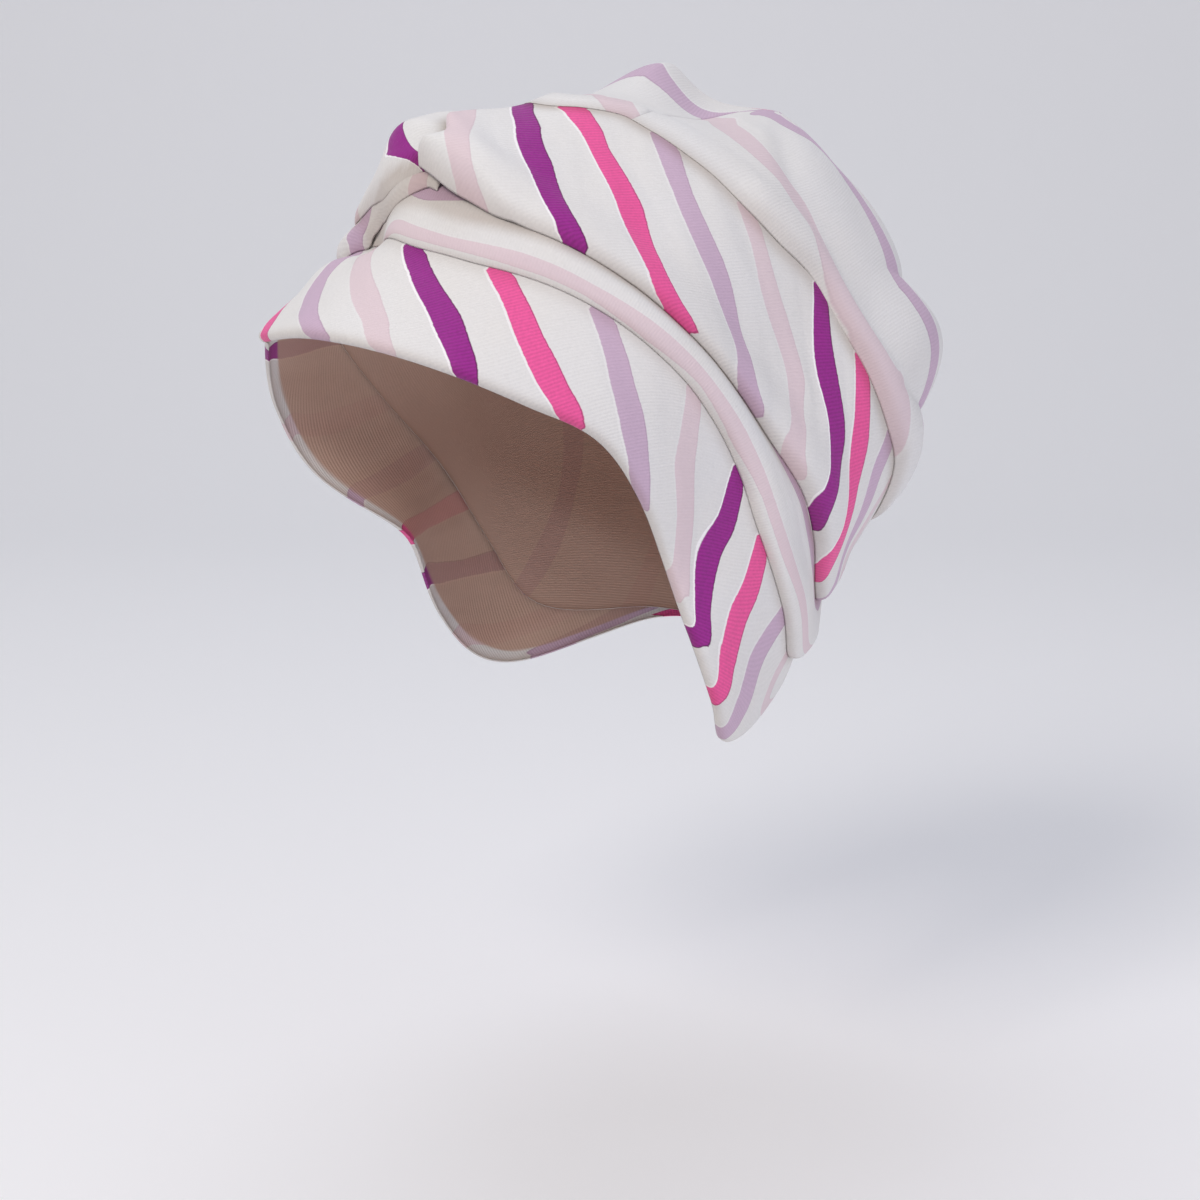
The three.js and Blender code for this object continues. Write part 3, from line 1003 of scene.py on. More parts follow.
@dataclass
class BrimBand(ClothLayer):
    """The band along the rim, with its folded lower edge."""

    name: str = "brim_band"
    closed: bool = True
    rows: int = 44
    turn_step: float = 1.0
    edge: float = 1.0
    plump: float = 0.8
    cover_line: Line | None = Line.FOLD
    shade_cast: float = 0.4
    flat: tuple[float, float] = (0.72, 0.05)
    rests_on: tuple[str, ...] = ("crown",)
    runs: Runs = Runs(
        first=-8,
        rows=(
            # station, then the turns of stripes -8 on: purple 0, pink 1, lavender 2, pale pink 3, ...
            (
                0.0, -184, -165, -146, -127, -108, -90, -72, -54, -33, -13.5, 4,
                16, 29.5, 49, 71, 97, 109, 122, 132, 146, 166, 186,
            ),
            (
                0.1, -185, -166, -147, -128, -109, -91, -73, -55, -35, -15.5, 1,
                14, 28, 46.5, 67.5, 95, 109, 121.5, 132, 147, 167, 187,
            ),
            (
                0.25, -189, -170, -151, -132, -113, -95, -77, -59, -39, -20, -4,
                11, 25, 42, 62, 89, 104.5, 118.5, 130, 145, 164, 184,
            ),
            (
                0.5, -195, -176, -157, -138, -119, -101, -83, -65, -45, -27, -12,
                4, 19.5, 35.5, 54.5, 77.5, 99, 115.5, 127, 141, 161, 181,
            ),
            (
                0.75, -200, -181, -162, -143, -124, -106, -88, -70, -50, -32, -18,
                -5, 12.5, 30, 49, 72, 96, 113.5, 126.5, 139, 158, 178,
            ),
            (
                1.0, -205, -186, -167, -148, -129, -111, -93, -75, -56, -39, -27,
                -15, 5.5, 24, 43.5, 68, 91.5, 110, 127, 139, 156, 176,
            ),
        ),
    )

    def low(self, turn: Array) -> Array:
        """Return the rise of the rim."""
        return self.form.line(Line.RIM, turn)

    def high(self, turn: Array) -> Array:
        """Return the rise of the upper edge, tucked under the folds."""
        return self.form.line(Line.FOLD, turn) + self.form.tuck

    def inner(self, turn: Array, rise: Array) -> Array:
        """Return the height of the inner face."""
        return self.form.gap + self.soft_edge(turn, rise)

    def stripes(self, turn: Array, rise: Array) -> Array:
        """Return the stripe number: the print crosses the band, leaning to the front."""
        return self.runs.index(self.form.share(Line.RIM, Line.FOLD, turn, rise), turn)


@dataclass
class FoldLeft(ClothLayer):
    """The rolled fold above the band, over the wearer's left."""

    name: str = "fold_left"
    start: float = -32.0
    stop: float = 180.0
    rows: int = 30
    flat: tuple[float, float] = (0.42, 0.027)
    held: str = "folded"
    rests_on: tuple[str, ...] = ("brim_band_cloth", "crown")
    edge: float = 1.3
    puff: float = 3.2
    plump: float = 1.0
    narrow: float = 2.3
    cover_line: Line | None = Line.WRAP
    shade_width: float = 0.7
    under_tip: Hill = Hill(size=3.5, centre=2.0, width=8.0)
    tip: Hill = Hill(size=1.0, centre=3.0, width=8.0)
    tip_shares: tuple[float, float] = (0.6, 0.9)
    brow_flatness: float = 0.5
    brow_turns: tuple[float, float] = (35.0, 75.0)
    roll_turns: tuple[float, float] = (10.0, 60.0)
    runs: Runs = Runs(
        first=-2,
        rows=(
            # the turn, then the shares of the fold's height where purple, pale pink and lavender run
            (-32, -1.6, -0.7, 1.9),
            (-12, -1.4, -0.5, 1.7),
            (-4, -1.0, 0.22, 1.45),
            (5, -1.0, 0.28, 1.3),
            (13, -0.9, 0.27, 1.6),
            (32, -0.9, 0.22, 1.9),
            (65, -0.9, 0.2, 1.9),
            (83, -0.8, 0.2, 1.4),
            (100, -0.7, 0.21, 1.02),
            (114, -0.6, 0.20, 0.93),
            (125, -0.6, 0.22, 0.93),
            (180, -0.6, 0.22, 0.9),
        ),
    )

    def low(self, turn: Array) -> Array:
        """Return the rise of the fold's lower edge."""
        return self.form.line(Line.FOLD, turn)

    def high(self, turn: Array) -> Array:
        """Return the rise of its upper edge, under the wrap."""
        return self.form.line(Line.WRAP, turn) + self.form.tuck + self.under_tip.at(turn)

    def narrowing(self, turn: Array, rise: Array) -> Array:
        """Return how many times narrower the stripes are: least under the tip of the wrap."""
        upper = ramp(self.form.share(Line.FOLD, Line.WRAP, turn, rise), *self.tip_shares)
        return self.narrow + (1.0 - self.narrow) * self.tip.at(turn) * upper

    def taper(self, turn: Array) -> Array:
        """Return how flat the lower edge lies: over the brow it thins out on the band."""
        return self.brow_flatness * (1 - ramp(turn, *self.brow_turns))

    def roll(self, turn: Array, rise: Array) -> Array:
        """Return how far the rolled fold stands off what it covers."""
        share = clamp01(self.form.share(Line.FOLD, Line.WRAP, turn, rise))
        return self.puff * np.sin(math.pi * share) * ramp(np.abs(turn), *self.roll_turns)

    def inner(self, turn: Array, rise: Array) -> Array:
        """Work out the height of the inner face, on the band and then on the base cap.

        Args:
            turn: The turn of each place.
            rise: The rise of each place.

        Returns:
            The height above the form in millimetres.
        """
        past = self.form.past_edge(rise, self.form.line(Line.FOLD, turn))
        raised = self.roll(turn, rise) + self.soft_edge(turn, rise)
        return self.form.layer * (1 - past) + self.form.gap + raised

    def stripes(self, turn: Array, rise: Array) -> Array:
        """Return the stripe number: the print runs along the fold."""
        return -self.runs.index(turn, self.form.share(Line.FOLD, Line.WRAP, turn, rise)) - 2


@dataclass
class FoldRight(FoldLeft):
    """The rolled fold over the wearer's right, whose front end crosses the left one."""

    name: str = "fold_right"
    start: float = -180.0
    stop: float = 5.5
    rests_on: tuple[str, ...] = ("fold_left_cloth", "brim_band_cloth", "crown")
    narrow: float = 1.0
    crossing_turns: tuple[float, float] = (-39.0, -32.5)
    crossing_edge: float = 0.9
    # The lower edge dips, then leaves the left fold upwards.
    dip: Slope = Slope(size=1.0, start=-34.0, stop=-28.0)
    dip_end: Slope = Slope(size=1.0, start=-22.0, stop=-17.0)
    leave: Slope = Slope(size=2.3, start=-20.0, stop=-12.0)
    curl: Curl = Curl(size=6.0, start=-11.0, span=14.0)
    over_front: Slope = Slope(size=5.5, start=-5.0, stop=2.0)
    over_side: Hill = Hill(size=1.6, centre=-16.0, width=8.0)
    runs: Runs = Runs(
        first=-10,
        rows=(
            (0.0, -169, -148, -127, -107, -88, -70, -54, -39, -23, -1, 20),
            (1.0, -165, -144, -123, -103, -84, -66, -51, -37, -21, 1, 22),
        ),
    )

    def taper(self, turn: Array) -> Array:
        """Return 0: the lower edge is a rounded fold all along."""
        return np.zeros(np.shape(turn))

    def low(self, turn: Array) -> Array:
        """Return the rise of the lower edge, which leaves the left fold upwards."""
        lift = self.leave.at(turn) + self.curl.at(turn)
        return self.form.line(Line.FOLD, turn) + lift - self.dip.at(turn) * (1 - self.dip_end.at(turn))

    def high(self, turn: Array) -> Array:
        """Return the rise of its upper edge, under the wrap."""
        over = self.over_front.at(turn) + self.over_side.at(turn)
        return self.form.line(Line.WRAP, turn) + self.form.tuck + over

    def inner(self, turn: Array, rise: Array) -> Array:
        """Work out the height of the inner face, over the left fold where they cross.

        Args:
            turn: The turn of each place.
            rise: The rise of each place.

        Returns:
            The height above the form in millimetres.
        """
        edge = self.crossing_edge
        crossing = ramp(turn, *self.crossing_turns)
        crossing = crossing * ramp(rise - self.form.line(Line.FOLD, turn), -edge, edge)
        return super().inner(turn, rise) + (self.form.layer + self.form.gap) * crossing

    def stripes(self, turn: Array, rise: Array) -> Array:
        """Return the stripe number: the print crosses the fold."""
        return self.runs.index(self.form.share(Line.FOLD, Line.WRAP, turn, rise), turn)


@dataclass
class WrapRight(ClothLayer):
    """The wrap over the wearer's right, with the loop of the twist at its front."""

    name: str = "wrap_right"
    start: float = -180.0
    stop: float = 9.0
    rows: int = 60
    flat: tuple[float, float] = (0.40, 0.068)
    held: str = "gathered"
    rests_on: tuple[str, ...] = ("fold_right_cloth", "crown")
    cover_line: Line | None = Line.CROWN
    below: FoldRight | None = None
    loop: Swell = Swell(turn=-7.0, turn_width=12.0, rise=31.0, rise_width=10.0, height=14.0)
    loop_root: float = 7.0
    leave: Slope = Slope(size=2.3, start=-26.0, stop=-17.0)
    settle: Slope = Slope(size=1.0, start=-15.0, stop=-8.0)
    curl: Curl = Curl(size=3.4, start=-8.0, span=13.0)
    untucked_turns: tuple[float, float] = (-6.0, 0.0)
    pinch: Swell = Swell(turn=2.5, turn_width=5.0, rise=25.5, rise_width=4.0, height=1.7)
    # The soft crease across the loop: a ridge above its line and a groove below it.
    crease_rise: float = 24.7
    crease_slope: float = 0.1
    crease_apart: float = 0.7
    crease_ridge: Hill = Hill(size=1.1, centre=0.0, width=0.9)
    crease_groove: Hill = Hill(size=1.3, centre=0.0, width=0.8)
    crease_turns: tuple[float, float] = (-16.0, -5.0)
    crease_end: Slope = Slope(size=1.0, start=3.0, stop=8.0)
    crease_shade: Slope = Slope(size=0.8, start=-0.2, stop=0.5)
    crease_shade_turns: tuple[float, float] = (-30.0, -12.0)
    lap_shade: Hill = Hill(size=0.9, centre=0.0, width=1.8)
    lap_shade_turns: tuple[float, float] = (-12.0, -8.0)
    runs: Runs = Runs(
        first=-9,
        rows=(
            # share of the height, then the turns of stripes -9 on; -2 lavender, -1 pale pink, 0 purple
            (0.0, -186, -163, -142, -121, -101, -81, -61, -43, -26, 16, 52),
            (0.13, -184.4, -161.4, -140.4, -119.7, -100, -80.4, -61, -43.7, -27.6, 8, 51),
            (0.15, -184.2, -161.2, -140.2, -119.5, -99.8, -80.3, -61, -43.8, -27.8, 4, 51),
            (0.172, -183.9, -160.9, -139.9, -119.3, -99.6, -80.1, -61, -43.9, -28.1, -1, 50),
            (0.21, -183.5, -160.5, -139.5, -118.9, -99.3, -80, -61, -44.1, -28.5, -5, 49),
            (0.26, -182.9, -159.9, -138.9, -118.4, -98.9, -79.7, -61, -44.3, -29.1, -7.5, 48),
            (0.33, -182, -159, -138, -117.7, -98.4, -79.4, -61, -44.7, -30, -9.5, 46),
            (0.42, -181, -158, -137, -116.8, -97.6, -78.9, -61, -45.1, -31, -13, 44),
            (0.6, -178.8, -155.8, -134.8, -115, -96.2, -78, -61, -46, -33.2, -19, 41),
            (1.0, -174, -151, -130, -111, -93, -76, -61, -48, -38, -27, 38),
        ),
    )

    def low(self, turn: Array) -> Array:
        """Return the rise of the wrap's lower edge."""
        up = self.leave.at(turn) - self.settle.at(turn) + self.curl.at(turn)
        return self.form.line(Line.WRAP, turn) + up

    def high(self, turn: Array) -> Array:
        """Return the rise of its upper edge, under the crown fold."""
        tuck = self.form.tuck
        return self.form.line(Line.CROWN, turn) + mix(tuck, -tuck, ramp(turn, *self.untucked_turns))

    def inner(self, turn: Array, rise: Array) -> Array:
        """Work out the height of the inner face, with the loop of the twist.

        Args:
            turn: The turn of each place.
            rise: The rise of each place.

        Returns:
            The height above the form in millimetres.
        """
        past = self.form.past_edge(rise, self.form.line(Line.WRAP, turn))
        under = (self.below.inner(turn, rise) + self.form.wall) * (1 - past)
        loop = self.loop.at(turn, rise) * ramp(rise - self.low(turn), 0.0, self.loop_root)
        return under + self.form.gap + loop + self.fan(turn, rise) + self.soft_edge(turn, rise)

    def narrowing(self, turn: Array, rise: Array) -> Array:
        """Return how many times narrower the stripes are: most where the twist draws them together."""
        return 1.0 + self.pinch.at(turn, rise)

    def crease(self, turn: Array) -> Array:
        """Return the rise of the soft crease across the loop."""
        return self.crease_rise + self.crease_slope * np.asarray(turn, float)

    def fan(self, turn: Array, rise: Array) -> Array:
        """Work out the soft crease that runs back from where the wraps cross.

        Args:
            turn: The turn of each place.
            rise: The rise of each place.

        Returns:
            The height it adds in millimetres.
        """
        ridge, groove = self.crease_ridge, self.crease_groove
        shape = ridge.size * bump(rise, self.crease(turn) + self.crease_apart, ridge.width)
        shape = shape - groove.size * bump(rise, self.crease(turn) - self.crease_apart, groove.width)
        return shape * ramp(turn, *self.crease_turns) * (1 - self.crease_end.at(turn))

    def shade(self, turn: Array, rise: Array) -> Array:
        """Work out the shade beside the edges, under the crease and beside the left wrap's front end.

        Args:
            turn: The turn of each place.
            rise: The rise of each place.

        Returns:
            The depth of the shade, from 0 to 1.
        """
        under = self.crease_shade.at(self.crease(turn) - rise) * ramp(turn, *self.crease_shade_turns)
        beside = self.lap_shade.at(np.maximum(self.form.front_end(rise) - turn, 0.0))
        return clamp01(super().shade(turn, rise) + under + beside * ramp(turn, *self.lap_shade_turns))

    def stripes(self, turn: Array, rise: Array) -> Array:
        """Return the stripe number: the print crosses the wrap."""
        return self.runs.index(self.form.share(Line.WRAP, Line.CROWN, turn, rise), turn)


@dataclass
class WrapLeft(ClothLayer):
    """The wrap over the wearer's left, whose front end laps over the loop of the twist."""

    name: str = "wrap_left"
    start: float = 0.5
    stop: float = 180.0
    rows: int = 64
    plump: float = 2.2
    flat: tuple[float, float] = (0.36, 0.070)
    held: str = "gathered"
    rests_on: tuple[str, ...] = ("fold_left_cloth", "wrap_right_cloth", "crown")
    cover_line: Line | None = Line.CROWN
    below: FoldLeft | None = None
    lapped: WrapRight | None = None
    # The lower edge falls away from the twist.
    fall_size: float = 4.3
    fall_start: float = -3.0
    fall_span: float = 22.0
    fall_power: float = 1.5
    low_swell: Hill = Hill(size=1.1, centre=13.0, width=6.0)
    lap_rises: tuple[float, float] = (29.0, 34.0)
    off_loop_turns: tuple[float, float] = (10.0, 26.0)
    off_loop_rises: tuple[float, float] = (22.5, 26.0)
    lean_stop: float = 24.0
    roll_size: float = 3.0
    roll_width: float = 4.0
    roll_fade: Slope = Slope(size=0.8, start=29.0, stop=36.0)
    runs: Runs = Runs(
        first=-1,
        rows=(
            (0.0, 16, 33.5, 56.5, 81.5, 102, 118, 135, 150, 165, 182, 200),
            (0.08, 13, 30.5, 51.5, 77.5, 98.5, 115.5, 133, 150, 166, 181, 199),
            (0.25, 8, 23.5, 44.5, 72.5, 96, 112.5, 129, 147, 160, 176, 194),
            (0.5, 2, 14.5, 34.5, 62, 91.5, 108.5, 120.5, 137, 150, 168, 186),
            (0.75, -5, 8, 20, 44, 75, 99.5, 115, 128, 142, 160, 178),
            (1.0, -12, 1, 10.5, 30, 59, 92, 110.5, 126, 139, 155, 174),
        ),
    )

    def low(self, turn: Array) -> Array:
        """Work out the rise of the wrap's lower edge, which is highest at the twist.

        Args:
            turn: The turn of each place.

        Returns:
            The rise in degrees.
        """
        to_go = 1 - clamp01((turn - self.fall_start) / self.fall_span)
        lift = self.fall_size * to_go**self.fall_power + self.low_swell.at(turn)
        return self.form.line(Line.WRAP, turn) + lift

    def high(self, turn: Array) -> Array:
        """Return the rise of its upper edge, under the crown fold."""
        return self.form.line(Line.CROWN, turn) + self.form.tuck

    def inner(self, turn: Array, rise: Array) -> Array:
        """Work out the height of the inner face, over the right wrap where it laps it.

        Args:
            turn: The turn of each place.
            rise: The rise of each place.

        Returns:
            The height above the form in millimetres.
        """
        past = self.form.past_edge(rise, self.form.line(Line.WRAP, turn))
        under = (self.below.inner(turn, rise) + self.form.wall) * (1 - past) + self.form.gap
        over = self.lapped.inner(turn, rise) + self.form.layer
        over = over + self.form.gap * (1 + 2 * (1 - ramp(rise, *self.lap_rises)))
        off_loop = np.maximum(ramp(turn, *self.off_loop_turns), 1 - ramp(rise, *self.off_loop_rises))
        return mix(over, under, off_loop) + self.soft_edge(turn, rise) + self.front_roll(turn, rise)

    def lean(self, turn: Array, rise: Array) -> Array:
        """Return how far a section stands away from its own turn: most at the front end."""
        return (self.form.front_end(rise) - self.start) * (1 - ramp(turn, self.start, self.lean_stop))

    def front_roll(self, turn: Array, rise: Array) -> Array:
        """Return how far the wrap's front end stands up as a roll over the loop."""
        inside = np.maximum(turn - self.form.front_end(rise), 0.0) / self.roll_width
        return self.roll_size * inside * np.exp(1.0 - inside) * (1 - self.roll_fade.at(rise))

    def stripes(self, turn: Array, rise: Array) -> Array:
        """Return the stripe number: the print crosses the wrap, leaning to the front."""
        return self.runs.index(self.form.share(Line.WRAP, Line.CROWN, turn, rise), turn)


@dataclass
class CrownFoldLeft(ClothLayer):
    """The puffed fold over the left half of the crown, gathered at the back."""

    name: str = "crown_fold_left"
    start: float = 0.0
    stop: float = 180.0
    rows: int = 90
    plump: float = 2.6
    plump_mm: float = 7.0
    flat: tuple[float, float] = (0.29, 0.112)
    held: str = "gathered"
    rests_on: tuple[str, ...] = ("wrap_left_cloth", "crown")
    over_left: WrapLeft | None = None
    over_right: WrapRight | None = None
    crest: Swell = Swell(turn=-22.0, turn_width=38.0, rise=74.0, rise_width=8.0, height=22.0)
    crest_steepness: float = 6.0
    pleat_rise: float = 45.0
    pleat_step: float = 18.0
    pleat_height: float = 12.0
    pleat_roundness: float = 0.7
    pleat_width: float = 9.0
    pleat_root: float = 9.0
    pleat_turns: tuple[float, float] = (108.0, 146.0)
    seam_steepness: float = 7.0
    front_turns: tuple[float, float] = (-3.0, 2.0)
    # The dip runs down and back along the side.
    dip_depth: float = 3.6
    dip_turn: float = 69.0
    dip_rise: float = 71.0
    dip_slope: float = 0.38
    dip_width: float = 5.5
    dip_turns: tuple[float, float] = (48.0, 72.0)
    dip_end: Slope = Slope(size=1.0, start=110.0, stop=126.0)
    flat_turns: tuple[float, float] = (44.0, 66.0)
    crease_turn: float = 20.5
    crease_top: float = 60.0
    narrow: float = 0.68
    lean_turns: tuple[float, float] = (0.0, 70.0)
    runs: Runs = Runs(
        first=-2,
        rows=(
            # the turn, then the rises of stripes -2 on: purple, pale pink, lavender, pink, purple
            (0, 34, 72, 86, 104, 122),
            (21, 42, 76, 87, 103, 121),
            (37, 43, 72, 85, 102, 120),
            (55, 43, 68, 84, 101, 119),
            (75, 42, 65, 82.5, 99, 118),
            (92, 38, 58.5, 82, 100, 118),
            (105, 31, 52, 80, 101, 119),
            (115, 24, 45.5, 76, 102, 120),
            (120, 19, 43, 72, 102, 120),
            (124, 16, 39, 66, 102, 120),
            (132, 11, 33, 55, 95, 124),
            (140, 6, 26, 45, 82, 120),
            (150, 0, 20, 38, 66, 118),
            (165, -6, 14, 31, 53, 116),
            (180, -10, 10, 27, 48, 114),
        ),
    )

    def low(self, turn: Array) -> Array:
        """Return the rise of the fold's lower edge."""
        return self.form.line(Line.CROWN, turn)

    def high(self, turn: Array) -> Array:
        """Return the apex."""
        return np.full(np.shape(turn), APEX)

    def off_seam(self, turn: Array, rise: Array) -> Array:
        """Return 0 at the seam down the middle of the crown and 1 a short way off it."""
        off = self.seam_steepness * np.abs(np.sin(np.radians(turn)))
        return clamp01(off * np.cos(np.radians(rise)))

    def gathers(self, turn: Array, rise: Array) -> Array:
        """Work out the soft pleats at the centre back.

        Args:
            turn: The turn of each place.
            rise: The rise of each place.

        Returns:
            The height they add in millimetres.
        """
        share = ((rise - self.pleat_rise) % self.pleat_step) / self.pleat_step
        pleat = np.sin(math.pi * share) ** self.pleat_roundness
        above = ramp(rise - self.form.line(Line.CROWN, turn), 0.0, self.pleat_root)
        largest = 0.45 + 0.55 * bump(rise, self.pleat_rise + self.pleat_step / 2, self.pleat_width)
        back = ramp(np.abs(turn), *self.pleat_turns) * self.off_seam(turn, rise)
        return self.pleat_height * largest * pleat * above * back

    def covered(self, turn: Array, rise: Array) -> Array:
        """Work out the height of the outer face of the wraps below.

        Args:
            turn: The turn of each place.
            rise: The rise of each place.

        Returns:
            The height above the form in millimetres.
        """
        left = self.over_left.inner(turn, rise)
        right = self.over_right.inner(turn, rise)
        return mix(right, left, ramp(turn, *self.front_turns)) + self.form.wall

    def inner(self, turn: Array, rise: Array) -> Array:
        """Work out the height of the inner face, on the wraps and then on the base cap.

        Args:
            turn: The turn of each place.
            rise: The rise of each place.

        Returns:
            The height above the form in millimetres.
        """
        past = self.form.past_edge(rise, self.form.line(Line.CROWN, turn), quick=True)
        under = self.covered(turn, rise) * (1 - past)
        edge = self.soft_edge(turn, rise) * (1 - self.taper(turn))
        swells = self.gathers(turn, rise) + self.ridge(turn, rise) - self.valley(turn, rise)
        return under + self.form.gap + edge + swells

    def valley(self, turn: Array, rise: Array) -> Array:
        """Work out the long soft dip that the puffed cloth sinks into at the side.

        Args:
            turn: The turn of each place.
            rise: The rise of each place.

        Returns:
            The depth it takes away in millimetres.
        """
        turn = np.abs(turn)
        along = ramp(turn, *self.dip_turns) * (1 - self.dip_end.at(turn))
        middle = self.dip_rise - self.dip_slope * (turn - self.dip_turn)
        return self.dip_depth * bump(rise, middle, self.dip_width) * along

    def ridge(self, turn: Array, rise: Array) -> Array:
        """Work out the ridge on the wearer's right of the crease.

        Args:
            turn: The turn of each place.
            rise: The rise of each place.

        Returns:
            The height it adds in millimetres.
        """
        past_crease = np.radians(turn - self.lean(0.0, rise))
        right_of_it = clamp01(-self.crest_steepness * np.sin(past_crease) * np.cos(np.radians(rise)))
        return self.crest.at(turn, rise) * right_of_it

    def taper(self, turn: Array) -> Array:
        """Return 1 over the front, where the edge lies flat, and 0 beyond it."""
        return 1 - ramp(np.abs(turn), *self.flat_turns)

    def lean(self, turn: Array, rise: Array) -> Array:
        """Return how far the crease between the folds, and all beside it, stands to the left."""
        up = clamp01((np.asarray(rise, float) - self.crease_top) / (APEX - self.crease_top))
        return self.crease_turn * (1 - up * up) * (1 - ramp(np.abs(turn), *self.lean_turns))

    def stripes(self, turn: Array, rise: Array) -> Array:
        """Return the stripe number: the print runs along the fold."""
        return -self.runs.index(turn, rise) - 2


@dataclass
class CrownFoldRight(CrownFoldLeft):
    """The puffed fold over the right half of the crown, with its raised ridge."""

    name: str = "crown_fold_right"
    start: float = -180.0
    stop: float = 0.0
    rests_on: tuple[str, ...] = ("wrap_right_cloth", "crown")
    runs: Runs = Runs(
        first=-2,
        rows=(
            # the turn, then the rises of stripes -2 on: purple, pale pink, lavender, pink, ...
            (-180, -10, 10, 27, 48, 114, 132, 150),
            (-135, 0, 20, 38, 57, 118, 136, 154),
            (-90, 10, 30, 49, 68, 122, 140, 158),
            (-60, 18, 38, 57, 79, 98, 116, 134),
            (-45, 22, 44, 62, 88, 107, 125, 143),
            (-30, 27, 50, 66, 96, 115, 133, 151),
            (-20, 30, 54.5, 70, 101, 120, 139, 157),
            (-10, 33, 57, 72, 106, 125, 143, 161),
            (0, 35, 57, 75, 110, 129, 147, 165),
            (25, 36, 54, 83, 118, 137, 155, 173),
        ),
    )


# ---- the cap --------------------------------------------------------------------------------
@dataclass
class ChemoCap:
    """The whole cap: eight layers of cloth over one form."""

    form: WrappedForm = field(default_factory=WrappedForm)
    print_finish: StripedJersey = field(default_factory=StripedJersey)

    def layers(self) -> list[ClothLayer]:
        """Lay out the layers, each told which ones it lies on.

        Returns:
            The layers from the inside out.
        """
        fold_left, fold_right = FoldLeft(self.form), FoldRight(self.form)
        wrap_right = WrapRight(self.form, below=fold_right)
        wrap_left = WrapLeft(self.form, below=fold_left, lapped=wrap_right)
        return [
            Crown(self.form),
            BrimBand(self.form),
            fold_left,
            fold_right,
            wrap_right,
            wrap_left,
            CrownFoldLeft(self.form, over_left=wrap_left, over_right=wrap_right),
            CrownFoldRight(self.form, over_left=wrap_left, over_right=wrap_right),
        ]

    def build(self) -> None:
        """Build and dress every layer."""
        cloth = self.print_finish.build()
        for layer in self.layers():
            layer.build(cloth)


# ---- the studio -----------------------------------------------------------------------------
@dataclass(frozen=True)
class PalePaper:
    """Matt backdrop paper: it scatters all light and has no gloss, so its curve can't be seen."""

    name: str = "pale_paper"
    colour: str = "#fbfbfd"
    roughness: float = 0.9

    def build(self) -> bpy.types.Material:
        """Build the material.

        Returns:
            The material.
        """
        made = bpy.data.materials.new(self.name)
        made.use_nodes = True
        shader = made.node_tree.nodes["Principled BSDF"]
        shader.inputs["Base Color"].default_value = linear(self.colour)
        shader.inputs["Roughness"].default_value = self.roughness
        return made


@dataclass(frozen=True)
class Lamp:
    """A soft square lamp, with its place and size in metres and its power in watts."""

    name: str
    place: tuple[float, float, float]
    size: float
    power: float
    colour: str

    def hang(self, target: tuple[float, float, float]) -> None:
        """Hang the lamp.

        Args:
            target: The place that it faces.
        """
        data = bpy.data.lights.new(self.name, "AREA")
        data.shape, data.size, data.energy = "SQUARE", self.size, self.power
        data.color = linear(self.colour)[:3]
        lamp = bpy.data.objects.new(self.name, data)
        lamp.location = self.place
        lamp.rotation_euler = (Vector(target) - Vector(self.place)).to_track_quat("-Z", "Y").to_euler()
        bpy.context.scene.collection.objects.link(lamp)


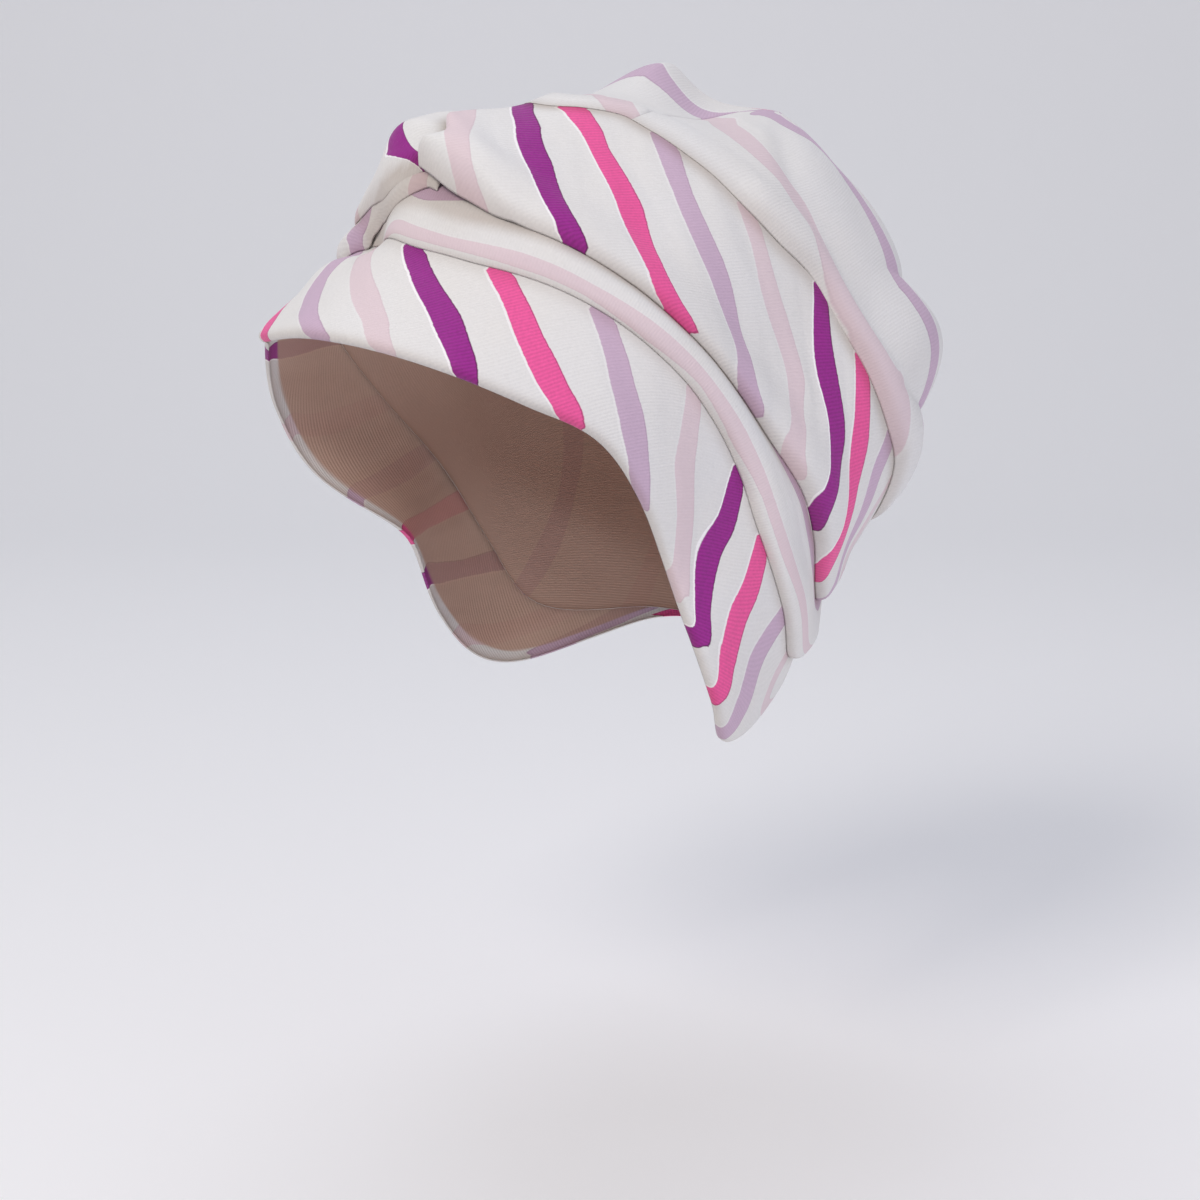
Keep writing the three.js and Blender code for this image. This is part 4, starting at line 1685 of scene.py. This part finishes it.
@dataclass
class Studio:
    """A plain pale floor that curves up behind, soft lights and the camera. All is in metres."""

    floor_z: float = -0.262
    floor_front: float = -3.0
    floor_half_width: float = 4.0
    curve_start: float = 1.2
    curve_radius: float = 0.9
    curve_steps: int = 24
    wall_run: float = 2.1
    wall_top: float = 3.5
    paper: PalePaper = PalePaper()
    camera_turn: float = 50.0
    camera_pitch: float = 13.0
    camera_distance: float = 1.0
    lens_mm: float = 73.5
    sensor_mm: float = 36.0
    # The camera looks past the centre, from a place slid to its right and down.
    centre: tuple[float, float, float] = (0.0, 0.0, 0.04)
    slide_right: float = 0.021224
    slide_down: float = 0.081633
    lamp_target: tuple[float, float, float] = (0.0, 0.03, 0.05)
    lamps: tuple[Lamp, ...] = (
        Lamp("key", place=(0.35, -1.35, 1.35), size=0.7, power=16.0, colour="#fff8f0"),
        Lamp("fill", place=(1.7, 0.3, 0.5), size=1.4, power=7.0, colour="#f8f4ff"),
        Lamp("top", place=(-0.6, 0.2, 1.6), size=1.0, power=5.6, colour="#eef3ff"),
    )
    sky_colour: str = "#eef0f6"
    sky_strength: float = 0.46

    def axes(self) -> tuple[Vector, Vector, Vector]:
        """Work out which way the camera faces.

        Returns:
            The camera's right, up and back directions.
        """
        a, q = math.radians(self.camera_turn), math.radians(self.camera_pitch)
        right = Vector((math.cos(a), math.sin(a), 0.0))
        up = Vector((-math.sin(a) * math.sin(q), math.cos(a) * math.sin(q), math.cos(q)))
        back = Vector((math.sin(a) * math.cos(q), -math.cos(a) * math.cos(q), math.sin(q)))
        return right, up, back

    def camera(self) -> None:
        """Set the camera."""
        right, up, back = self.axes()
        place = Vector(self.centre) + back * self.camera_distance
        place = place + right * self.slide_right - up * self.slide_down
        data = bpy.data.cameras.new("camera")
        data.lens, data.sensor_width, data.sensor_height = self.lens_mm, self.sensor_mm, self.sensor_mm
        data.clip_start = 0.05
        camera = bpy.data.objects.new("camera", data)
        rows = [(right[i], up[i], back[i], place[i]) for i in range(3)]
        camera.matrix_world = Matrix((*rows, (0.0, 0.0, 0.0, 1.0)))
        bpy.context.scene.collection.objects.link(camera)
        bpy.context.scene.camera = camera

    def floor(self) -> None:
        """Lay the floor and its curve up to the backdrop."""
        back = self.axes()[2]
        away = Vector((-back.x, -back.y, 0.0)).normalized()
        side = Vector((-away.y, away.x, 0.0))
        radius = self.curve_radius
        outline = [(self.floor_front, 0.0)]
        for bend in np.linspace(0, math.pi / 2, self.curve_steps):
            outline.append((self.curve_start + radius * math.sin(bend), radius * (1 - math.cos(bend))))
        outline.append((self.wall_run, self.wall_top))
        points = []
        for run, height in outline:
            for across in (-self.floor_half_width, self.floor_half_width):
                spot = away * run + side * across + Vector((0, 0, self.floor_z + height))
                points.append(tuple(spot))
        faces = [(2 * i + 1, 2 * i, 2 * i + 2, 2 * i + 3) for i in range(len(outline) - 1)]
        mesh = bpy.data.meshes.new("floor")
        mesh.from_pydata(points, [], faces)
        mesh.materials.append(self.paper.build())
        mesh.polygons.foreach_set("use_smooth", [True] * len(mesh.polygons))
        floor = bpy.data.objects.new("floor", mesh)
        bpy.context.scene.collection.objects.link(floor)

    def build(self) -> None:
        """Set the whole studio."""
        world = bpy.data.worlds.new("studio")
        world.use_nodes = True
        sky = world.node_tree.nodes["Background"]
        sky.inputs["Color"].default_value = linear(self.sky_colour)
        sky.inputs["Strength"].default_value = self.sky_strength
        bpy.context.scene.world = world
        bpy.context.scene.view_settings.view_transform = "Standard"
        self.floor()
        for lamp in self.lamps:
            lamp.hang(self.lamp_target)
        self.camera()


def main() -> None:
    """Build the cap and the studio in order."""
    logging.basicConfig(level=logging.INFO, format="%(message)s")
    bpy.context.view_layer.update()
    ChemoCap().build()
    Studio().build()
    bpy.context.view_layer.update()


if __name__ == "__main__":
    main()
